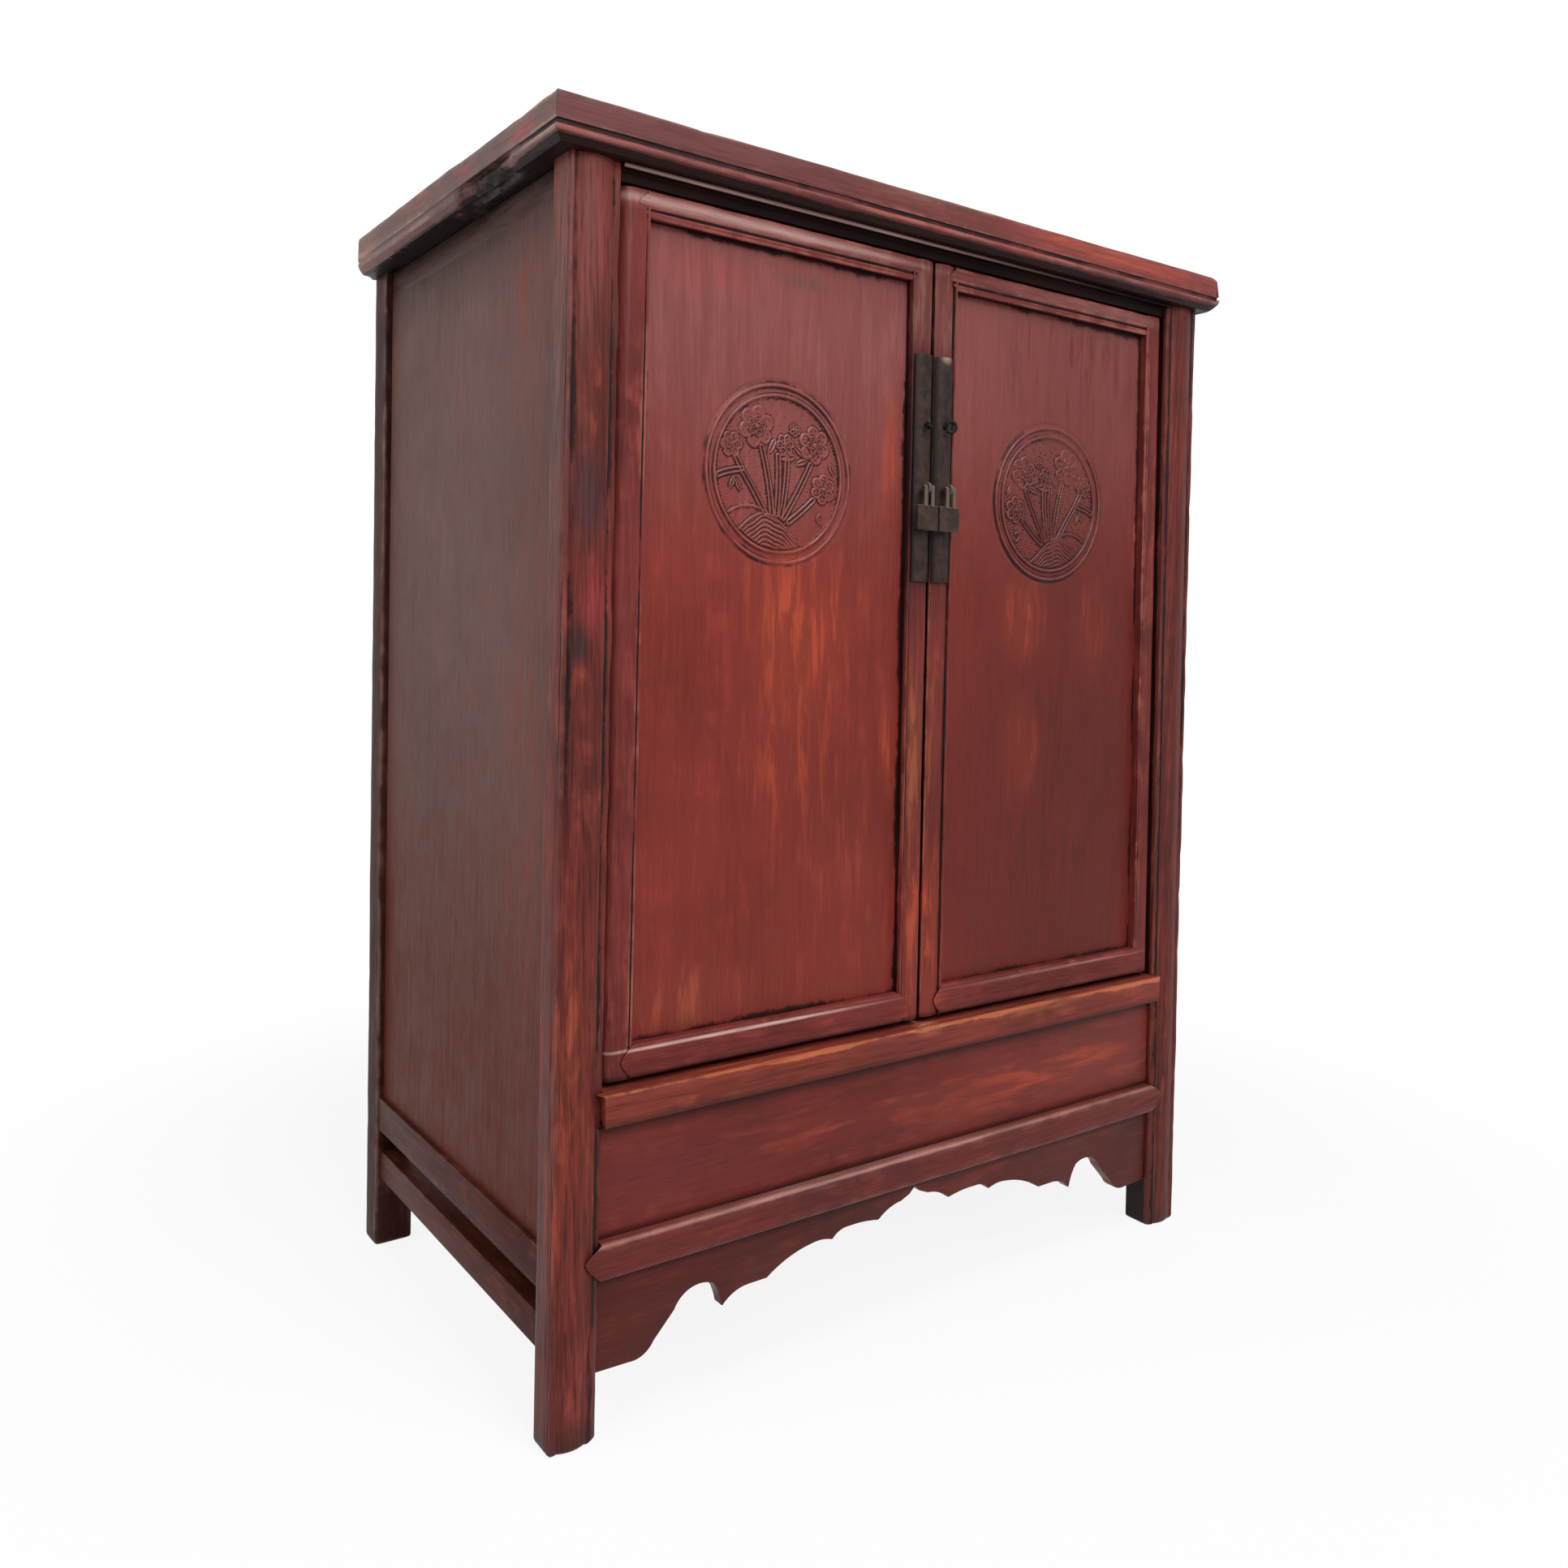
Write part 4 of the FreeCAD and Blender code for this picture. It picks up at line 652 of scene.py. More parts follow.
class Effects:
    """The groups that the finishes share: grain, clouds, edge wear, grime with painted shade, and spots of colour,
    painted highlight and painted shade.
    """

    def __init__(self) -> None:
        """Build every group once."""
        self.grain = self._patterns("wood_grain", (
            ("Streaks", "Vector", (30.0, 5.0, 0.4), 0.3, 0.7), ("Fibres", "Vector", (210.0, 4.0, 0.2), 0.28, 0.72),
            ("Pores", "Vector", (460.0, 2.0), 0.54, 0.68), ("Strokes", "Brushed", (62.0, 7.0, 0.4, 0.68), 0.44, 0.66)))
        self.clouds = self._patterns("coat_clouds", (
            ("Clouds", "Vector", (4.2, 4.0, 0.6), 0.34, 0.66), ("Mottles", "Vector", (34.0, 5.0, 0.3), 0.36, 0.68)))
        self.edge_wear = self._mask_near("edge_wear", "Edge", 46.0)
        # Darkening of hollows and deep faces: dirt and painted shade.
        self.grime_and_shade = self._mask_near("settled_grime", "Hollow", 70.0)
        self.spot = self._spot()

    def _patterns(self, name: str, rows: Sequence[tuple]) -> bpy.types.NodeTree:
        """Wandering patterns, each stretched to the full span.

        Args:
            name: Name of the group.
            rows: Title, name of the coordinates, noise values and the span's ends of each pattern.

        Returns:
            The group.
        """
        vectors = {row[1]: "Vector" for row in rows}
        sheet, given, result = new_group(name, vectors, [row[0] for row in rows])
        for title, vector, noise, low, high in rows:
            sheet.feed(result[title], sheet.span(sheet.noise(given[vector], *noise), low, high))
        return sheet.tree

    def _mask_near(self, name: str, source: str, scale: float) -> bpy.types.NodeTree:
        """A ragged mask that follows a value kept on the mesh.

        Args:
            name: Name of the group.
            source: Name of its input for that value.
            scale: Size of the ragged pattern.

        Returns:
            The group.
        """
        sheet, given, result = new_group(name, {source: "Float", "Vector": "Vector", "Amount": "Float"}, ("Mask",))
        near = sheet.total((given[source], given["Amount"]))
        broad = sheet.span(sheet.noise(given["Vector"], 7.0, 2.0), 0.3, 0.62, 0.35, 1.25)
        ragged = sheet.noise(given["Vector"], scale, 5.0, 0.4)
        sheet.feed(result["Mask"], sheet.span(sheet.total((near, broad), ragged, -0.95), -0.08, 0.3))
        return sheet.tree

    def _spot(self) -> bpy.types.NodeTree:
        """A soft spot about a centre, broken up by streaks.

        Returns:
            The group.
        """
        sheet, given, result = new_group("rubbed_spot", {
            "Vector": "Vector", "Centre": "Vector", "Reach": "Vector", "Streaks": "Float", "Breaks": "Float",
            "Strength": "Float"}, ("Mask",))
        scaled = sheet.vector("DIVIDE", sheet.vector("SUBTRACT", given["Vector"], given["Centre"]), given["Reach"])
        soft = sheet.span(sheet.vector("LENGTH", scaled), 1.0, 0.15)
        lift = sheet.total(sheet.span(given["Streaks"], 0.0, 1.0, 0.3, 1.4), -0.9)
        broken = sheet.total((soft, sheet.total((lift, given["Breaks"]), 0.9)))
        sheet.feed(result["Mask"], sheet.total((broken, given["Strength"]), clamp=True))
        return sheet.tree


STREAKY, FAINT = 1.0, 0.25


@dataclass(frozen=True)
class Spot:
    """A place where a coat is rubbed, stained or cloudy, or where a highlight or shade is painted.

    Attributes:
        centre: Its middle.
        reach: Its half sizes along x, y and z.
        colour: Its colour in screen values.
        strength: How strongly it shows.
        breaks: How strongly brush strokes break it up.
    """

    centre: Triple
    reach: Triple
    colour: tuple[int, int, int]
    strength: float = 0.8
    breaks: float = STREAKY


@dataclass(frozen=True)
class Lacquer:
    """An old coat over wood, worn through along its arrises.

    Attributes:
        name: Name of the finish.
        coat: Screen colours: thick coat, usual coat, lighter streaks, rubbed arrises, and dirt with painted shade.
        streaks: Strength of the lighter streaks.
        wear: Amount of wear along the arrises.
        fibre: Strength of the fine fibres in the colour.
        dirt_and_shade: Amount of dirt and painted shade in the hollows.
        roughness: Usual roughness.
        sheen: Share of the usual reflection.
        polish: Clear coat on the rubbed arrises.
        spots: Single places that differ, among them painted highlights and painted shade.
    """

    name: str
    coat: tuple[tuple[int, int, int], ...]
    streaks: float = 0.5
    wear: float = 0.9
    fibre: float = 0.12
    dirt_and_shade: float = 1.3
    roughness: float = 0.44
    sheen: float = 0.14
    polish: float = 0.5
    spots: tuple[Spot, ...] = ()

    def material(self, effects: Effects, way: Way) -> bpy.types.Material:
        """The finish with its grain in one direction.

        Args:
            effects: The shared groups.
            way: Direction of the grain.

        Returns:
            The material, made at the first call.
        """
        title = "%s_%s" % (self.name, way.name.lower())
        if title in bpy.data.materials:
            return bpy.data.materials[title]
        material = bpy.data.materials.new(title)
        sheet = Sheet.blank(material)
        deep, main, bright, worn, grime_and_shade = (tone(*colour) for colour in self.coat)
        place = sheet.node("TexCoord").outputs["Object"]
        squeezed, brushed = (sheet.node("Mapping", Vector=place, Scale=way.squeeze(share)).outputs[0]
                             for share in (0.045, 0.13))
        grain = sheet.placed(effects.grain, Vector=squeezed, Brushed=brushed)
        clouds = sheet.placed(effects.clouds, Vector=place)
        edge = sheet.mask("edge")
        rubbed = sheet.placed(effects.edge_wear, Edge=edge, Vector=place, Amount=self.wear)["Mask"]
        # Mask of dirt and painted shade in the hollows and on deep faces.
        dirt_and_shade_mask = sheet.placed(effects.grime_and_shade, Hollow=sheet.mask("hollow"), Vector=place, Amount=self.dirt_and_shade)["Mask"]

        colour = sheet.mix(clouds["Clouds"], deep, main)
        lighter = sheet.total((grain["Strokes"], clouds["Mottles"]))
        colour = sheet.mix(sheet.total((lighter, self.streaks)), colour, bright)
        colour = sheet.mix(rubbed, colour, worn)
        # Each spot lays a stain, a rubbed patch, a painted highlight or painted shade over the coat.
        for spot in self.spots:
            colour = sheet.spotted(effects, spot, place, grain["Strokes"], colour)
        shade = sheet.span(grain["Fibres"], 0.0, 1.0, 1.0 - self.fibre, 1.0 + 0.6 * self.fibre)
        colour = sheet.mix(1.0, colour, shade, "MULTIPLY")
        # Pores, dirt and painted shade pull the coat towards its darkest colour.
        colour = sheet.mix(sheet.total((grain["Pores"], 1.6 * self.fibre), (dirt_and_shade_mask, 0.92)), colour, grime_and_shade)

        rough = sheet.total(self.roughness - 0.06, (grain["Fibres"], 0.12), (clouds["Mottles"], 0.08), (rubbed, 0.1),
                            clamp=True)
        relief = sheet.total((grain["Fibres"], 0.5), (grain["Streaks"], 0.6), (grain["Pores"], -0.5),
                             (rubbed, -0.5), (clouds["Mottles"], 0.5))
        glossy = sheet.total((edge, sheet.span(clouds["Mottles"], 0.0, 1.0, 0.3, 1.0)), clamp=True)
        return sheet.close(material, relief, 0.55, Base_Color=colour, Roughness=rough, Specular_IOR_Level=self.sheen,
                           Coat_Weight=sheet.total((glossy, self.polish)), Coat_Roughness=0.22)


@dataclass(frozen=True)
class Iron:
    """Old forged iron with a brown patina, all colours in screen values.

    Attributes:
        name: Name of the finish.
        dark: Colour of the scale.
        rust: Colour of the patina.
        bare: Colour of the handled places, also painted as a highlight on the eyes and lugs.
        soot_and_shade: Colour of the painted shade on the plate's sides and of the black rings.
        tip: Bright head of a nail over the right plate.
    """

    name: str
    dark: tuple[int, int, int]
    rust: tuple[int, int, int]
    bare: tuple[int, int, int] = (104, 92, 85)
    soot_and_shade: tuple[int, int, int] = (18, 14, 14)
    tip: Spot = Spot((0.0165, -0.285, 1.181), (0.012, 0.02, 0.010), (150, 128, 112), 1.0, 0.3)

    def material(self, effects: Effects) -> bpy.types.Material:
        """The finish.

        Args:
            effects: The shared groups.

        Returns:
            The material, made at the first call.
        """
        if self.name in bpy.data.materials:
            return bpy.data.materials[self.name]
        material = bpy.data.materials.new(self.name)
        sheet = Sheet.blank(material)
        place = sheet.node("TexCoord").outputs["Object"]
        rubbed = sheet.placed(effects.edge_wear, Edge=sheet.mask("edge"), Vector=place, Amount=1.3)["Mask"]
        scale = sheet.noise(place, 90.0, 5.0, 0.4)
        pits = sheet.span(sheet.noise(place, 420.0, 3.0), 0.55, 0.75)
        colour = sheet.mix(sheet.span(scale, 0.4, 0.66), tone(*self.dark), tone(*self.rust))
        colour = sheet.mix(sheet.total((rubbed, 0.7)), colour, tone(*self.bare))
        colour = sheet.mix(sheet.total((pits, 0.45)), colour, tone(*self.dark))
        # Soot colour from the hollow mask: painted shade on the plate's sides, and the black of the bent rings.
        soot_and_shade_share = sheet.total((sheet.mask("hollow"), sheet.span(scale, 0.2, 0.5, 0.8, 1.0)), clamp=True)
        colour = sheet.spotted(effects, self.tip, place, scale, sheet.mix(soot_and_shade_share, colour, tone(*self.soot_and_shade)))
        rough = sheet.total(sheet.span(scale, 0.3, 0.7, 0.5, 0.7), (pits, 0.1))
        return sheet.close(material, sheet.total(scale, (pits, -0.3)), 0.5, Base_Color=colour, Roughness=rough,
                           Metallic=sheet.span(scale, 0.3, 0.7, 0.4, 0.2), Specular_IOR_Level=0.25)


# The third colour paints shade: in gaps and along the edges of rails and the sill.
ORANGE, TAN, PAINTED_SHADE, ROSE = (158, 66, 44), (148, 80, 54), (32, 18, 18), (148, 72, 68)
EVERYWHERE = 3.0

FRONT = Lacquer(
    "front_lacquer", ((92, 35, 33), (112, 45, 41), (142, 62, 52), (144, 80, 68), (22, 11, 11)),
    streaks=0.8, fibre=0.16, wear=0.6, polish=0.3, spots=(
        # Painted shade over the meeting stiles by the iron and in the gap between them, partly iron stain.
        Spot((-0.012, -0.26, 1.04), (0.06, 0.15, 0.24), PAINTED_SHADE, 1.0, FAINT),
        Spot((-0.01, -0.29, 0.72), (0.04, 0.05, 0.17), TAN, 0.7),
        Spot((0.0, -0.29, 0.50), (0.06, 0.07, 0.19), (166, 72, 48), 0.9),
        Spot((0.0, -0.28, 1.235), (0.06, 0.08, 0.08), (118, 84, 76), 0.9),
        # Painted shade: a dark band left of the left plate and the dark gap between the two plates.
        Spot((-0.036, -0.28, 1.05), (0.014, 0.06, 0.24), PAINTED_SHADE, 1.0, FAINT),
        Spot((0.0, -0.285, 1.05), (0.012, 0.06, 0.20), PAINTED_SHADE, 1.0, FAINT),
        # Painted highlights along the upper door rails.
        Spot((-0.27, -0.28, 1.2785), (0.34, 0.08, 0.014), (150, 92, 88), 0.7, FAINT),
        Spot((-0.27, -0.28, 1.2795), (0.34, 0.08, 0.007), (198, 160, 154), 0.8, FAINT),
        Spot((0.25, -0.28, 1.2795), (0.32, 0.08, 0.011), (146, 98, 94), 0.6, FAINT),
        # Painted highlight lines along the top arris of the lower door rails.
        Spot((-0.27, -0.285, 0.4165), (0.28, 0.06, 0.0032), (222, 180, 170), 1.0, FAINT),
        Spot((0.25, -0.285, 0.4165), (0.28, 0.06, 0.0032), (170, 120, 110), 0.7, FAINT),
        # Painted shade in the gap between the lower door rails and the sill.
        Spot((0.0, -0.285, 0.386), (EVERYWHERE, 0.06, 0.007), (40, 20, 18), 0.9, FAINT)))
SKIRT = Lacquer(
    "skirt_lacquer", ((98, 38, 35), (114, 45, 39), (144, 64, 50), (138, 76, 60), (26, 13, 13)), fibre=0.08, spots=(
        # Painted shadow under the sill and painted shade above the waist rail.
        Spot((0.0, -0.285, 0.343), (EVERYWHERE, EVERYWHERE, 0.022), PAINTED_SHADE, 0.9, FAINT),
        Spot((0.0, -0.285, 0.217), (EVERYWHERE, EVERYWHERE, 0.010), PAINTED_SHADE, 0.8, FAINT),
        Spot((-0.1, -0.29, 0.28), (0.22, 0.05, 0.035), ORANGE, 0.4),
        Spot((0.25, -0.29, 0.27), (0.27, 0.05, 0.05), (156, 64, 44)),
        Spot((-0.36, -0.29, 0.28), (0.12, 0.05, 0.05), (96, 40, 44), 0.6, FAINT)))
APRON = Lacquer(
    "apron_lacquer", ((68, 28, 24), (86, 35, 30), (114, 50, 40), (108, 56, 46), (26, 13, 12)),
    streaks=0.6, fibre=0.1, spots=(
        # Painted shadow under the waist rail.
        Spot((0.0, -0.285, 0.176), (EVERYWHERE, EVERYWHERE, 0.014), PAINTED_SHADE, 0.9, FAINT),
        Spot((0.1, -0.285, 0.15), (0.3, 0.05, 0.04), (118, 50, 42), 0.5)))
WAIST = Lacquer(
    "waist_lacquer", ((84, 34, 32), (102, 41, 37), (136, 62, 52), (134, 76, 64), (26, 13, 13)),
    streaks=0.6, fibre=0.16, wear=0.6, polish=0.9, spots=(
        # Painted highlight lines along the rail's top arris.
        Spot((-0.1, -0.295, 0.2148), (0.6, 0.06, 0.0032), (186, 136, 128), 0.75, FAINT),
        Spot((0.35, -0.295, 0.2148), (0.3, 0.06, 0.0032), (150, 98, 88), 0.5, FAINT)))
# Nearly black coat: painted shade on the head rail under the top; its spot paints a highlight along the lip.
HEAD_IN_SHADE = Lacquer(
    "head_lacquer", ((19, 9, 9), (34, 18, 16), (36, 21, 20), (50, 31, 28), (10, 6, 6)),
    streaks=0.4, wear=0.3, sheen=0.04, polish=0.1, spots=(
        Spot((-0.25, -0.2825, 1.303), (0.6, 0.003, 0.004), (186, 150, 144), 1.0, FAINT),))
PANEL = Lacquer(
    "panel_lacquer", ((110, 40, 34), (122, 46, 39), (148, 60, 47), (148, 78, 68), (34, 15, 15)),
    streaks=0.55, wear=0.62, fibre=0.06, roughness=0.4, spots=(
        # Painted sheen: the upper part of the panels greyer and lighter.
        Spot((-0.2, -0.27, 1.31), (EVERYWHERE, EVERYWHERE, 0.45), (132, 82, 80), 0.8, FAINT),
        Spot((-0.30, -0.27, 1.225), (0.13, 0.1, 0.04), ROSE, 0.6),
        Spot((-0.185, -0.27, 1.236), (0.055, 0.1, 0.012), (92, 72, 64)),
        Spot((-0.213, -0.27, 1.028), (0.10, 0.1, 0.10), (136, 76, 72), 0.6, FAINT),
        Spot((0.213, -0.27, 1.028), (0.09, 0.1, 0.09), (112, 62, 56), 0.6, FAINT),
        Spot((-0.052, -0.27, 1.06), (0.02, 0.1, 0.11), ORANGE, 0.75),
        Spot((-0.18, -0.27, 0.86), (0.11, 0.1, 0.13), (166, 70, 46), 0.85),
        Spot((-0.20, -0.27, 0.72), (0.10, 0.1, 0.16), ORANGE, 0.5),
        Spot((-0.048, -0.27, 0.72), (0.025, 0.1, 0.09), ORANGE, 0.9),
        Spot((-0.324, -0.27, 0.458), (0.12, 0.1, 0.05), (150, 72, 52), 0.6),
        Spot((-0.13, -0.27, 0.60), (0.08, 0.1, 0.09), (144, 66, 50), 0.4),
        Spot((0.26, -0.27, 0.66), (0.4, 0.1, 0.7), (82, 30, 26), 0.88, FAINT),
        # Less of that painted sheen at the top of the right panel.
        Spot((0.25, -0.27, 1.2), (0.22, 0.1, 0.14), (104, 48, 46)),
        Spot((0.395, -0.27, 1.02), (0.035, 0.1, 0.16), ROSE, 0.7),
        Spot((0.171, -0.27, 0.88), (0.06, 0.1, 0.08), ORANGE, 0.6),
        Spot((0.17, -0.27, 0.71), (0.05, 0.1, 0.10), ORANGE, 0.55),
        Spot((0.30, -0.27, 0.87), (0.05, 0.1, 0.09), ORANGE, 0.4)))
POST = Lacquer(
    "post_lacquer", ((82, 34, 30), (104, 42, 37), (140, 64, 50), (124, 66, 54), (26, 14, 13)),
    streaks=0.7, fibre=0.3, wear=0.45, dirt_and_shade=1.0, polish=0.2, spots=(
        Spot((-0.477, -0.262, 1.1), (0.022, 0.028, 0.55), (106, 78, 71), 0.75, FAINT),
        Spot((-0.502, -0.27, 0.3), (0.016, 0.034, 0.6), (74, 46, 42), 0.8, FAINT),
        Spot((-0.46, -0.285, 1.25), (0.1, 0.03, 0.16), (122, 66, 62), 0.6, FAINT),
        Spot((-0.454, -0.29, 0.985), (0.03, 0.05, 0.07), (60, 38, 40), 1.0, FAINT),
        Spot((-0.446, -0.29, 0.88), (0.03, 0.05, 0.045), (140, 54, 54), 0.8, FAINT),
        Spot((-0.468, -0.29, 0.84), (0.02, 0.05, 0.03), (58, 38, 38), 1.0, FAINT),
        Spot((-0.475, -0.29, 0.44), (0.05, 0.06, 0.15), (150, 70, 48), 0.6),
        Spot((-0.48, -0.29, 0.26), (0.05, 0.06, 0.16), (146, 66, 48), 0.6),
        Spot((-0.477, -0.29, 0.09), (0.03, 0.06, 0.09), (132, 58, 50), 0.7),
        Spot((-0.49, -0.28, 0.0), (EVERYWHERE, EVERYWHERE, 0.04), (58, 36, 32), 0.7, FAINT),
        Spot((0.48, -0.28, 0.8), (0.1, 0.1, 0.7), (98, 46, 42), 0.6, FAINT),
        Spot((0.48, -0.28, 0.06), (0.1, 0.1, 0.2), (90, 46, 36), 0.8, FAINT)))
# The grey of this coat is partly faded lacquer, partly painted sheen.
SIDE = Lacquer(
    "side_lacquer", ((94, 68, 63), (104, 75, 70), (118, 80, 72), (120, 80, 68), (34, 22, 20)),
    fibre=0.07, roughness=0.4, sheen=0.05, spots=(
        # Lower part redder: less painted sheen low down than higher up.
        Spot((-0.49, 0.0, 0.33), (EVERYWHERE, EVERYWHERE, 0.34), (84, 36, 22), 0.6, FAINT),
        Spot((-0.49, 0.0, 0.2), (EVERYWHERE, EVERYWHERE, 0.75), (84, 34, 22), 1.0, FAINT),
        Spot((-0.47, -0.17, 1.2), (0.1, 0.10, 0.16), (122, 62, 54), 0.65),
        # Painted shadow under the top.
        Spot((-0.47, 0.0, 1.33), (EVERYWHERE, EVERYWHERE, 0.13), (36, 26, 24), 0.95, FAINT),
        Spot((-0.49, -0.20, 0.7), (0.1, 0.10, 0.55), (114, 62, 52), 0.6),
        Spot((-0.49, 0.12, 0.8), (0.1, 0.03, 0.5), (84, 64, 60), 0.4)))
REAR = Lacquer("rear_lacquer", ((46, 22, 18), (62, 30, 25), (100, 62, 55), (100, 64, 56), (24, 14, 13)),
               sheen=0.05, streaks=0.7, fibre=0.2, wear=0.6)
STRETCH = Lacquer("stretcher_lacquer", ((56, 22, 14), (73, 28, 18), (108, 54, 43), (100, 56, 45), (24, 13, 12)),
                  sheen=0.06, streaks=0.7, fibre=0.16, wear=0.6)
TOP = Lacquer(
    "top_lacquer", ((84, 42, 40), (104, 52, 49), (138, 64, 58), (132, 84, 76), (30, 17, 17)),
    streaks=0.6, fibre=0.14, wear=0.6, spots=(
        Spot((-0.38, -0.3, 1.34), (0.42, 0.1, 0.04), (94, 52, 52), 0.9, FAINT),
        Spot((0.3, -0.3, 1.34), (0.32, 0.1, 0.03), (142, 60, 52), 0.8, FAINT),
        Spot((0.25, -0.3, 1.34), (0.18, 0.1, 0.02), (158, 76, 56), 0.6),
        Spot((-0.05, -0.3, 1.345), (0.15, 0.1, 0.01), (120, 84, 78), 0.6),
        Spot((-0.3, -0.3, 1.350), (0.3, 0.1, 0.004), (140, 112, 106), 0.6),
        # Painted highlight along the top of the bead.
        Spot((0.0, -0.3, 1.317), (EVERYWHERE, 0.1, 0.003), (150, 70, 62), 0.7)))
TOP_SIDE = Lacquer(
    "top_side_lacquer", ((86, 61, 57), (109, 78, 73), (134, 80, 72), (140, 110, 101), (18, 11, 11)),
    streaks=0.8, fibre=0.16, wear=0.75, spots=(
        Spot((-0.49, -0.22, 1.338), (0.05, 0.04, 0.02), (140, 68, 68)),
        Spot((-0.49, -0.07, 1.338), (0.05, 0.05, 0.02), (134, 72, 68), 0.7),
        Spot((-0.49, 0.08, 1.332), (0.05, 0.07, 0.03), (142, 78, 68)),
        Spot((-0.49, -0.15, 1.34), (0.05, 0.06, 0.03), (84, 68, 66)),
        Spot((-0.49, 0.17, 1.345), (0.05, 0.05, 0.03), (80, 68, 62)),
        Spot((-0.49, 0.0, 1.352), (0.05, EVERYWHERE, 0.006), (76, 66, 62), 0.9, FAINT),
        Spot((-0.49, 0.26, 1.33), (0.05, 0.06, 0.04), (150, 112, 98)),
        # Painted shade under the member.
        Spot((-0.45, 0.0, 1.304), (0.03, EVERYWHERE, 0.006), (34, 23, 22), 0.9, FAINT)))
SILL = Lacquer(
    "sill_lacquer", ((102, 42, 35), (123, 52, 43), (148, 72, 52), (178, 98, 62), (24, 12, 11)),
    streaks=0.7, fibre=0.18, wear=1.15, spots=(
        Spot((-0.25, -0.30, 0.374), (0.3, 0.05, 0.014), ORANGE, 0.6),
        Spot((0.2, -0.30, 0.374), (0.3, 0.05, 0.012), TAN, 0.6),
        Spot((0.005, -0.30, 0.374), (0.03, 0.05, 0.012), (180, 112, 80), 1.0),
        # Painted shade along the sill's lower edge.
        Spot((0.0, -0.30, 0.344), (EVERYWHERE, 0.05, 0.008), (70, 34, 30), 0.8, FAINT)))
INNER = Lacquer("inner_wood", ((120, 92, 66), (140, 110, 80), (164, 134, 100), (150, 122, 92), (70, 52, 38)),
                streaks=0.6, roughness=0.66)
PLATE_IRON = Iron("forged_iron", (34, 24, 21), (57, 39, 33))
PULL_IRON = Iron("hanging_iron", (49, 35, 30), (66, 47, 41))


# The carcass

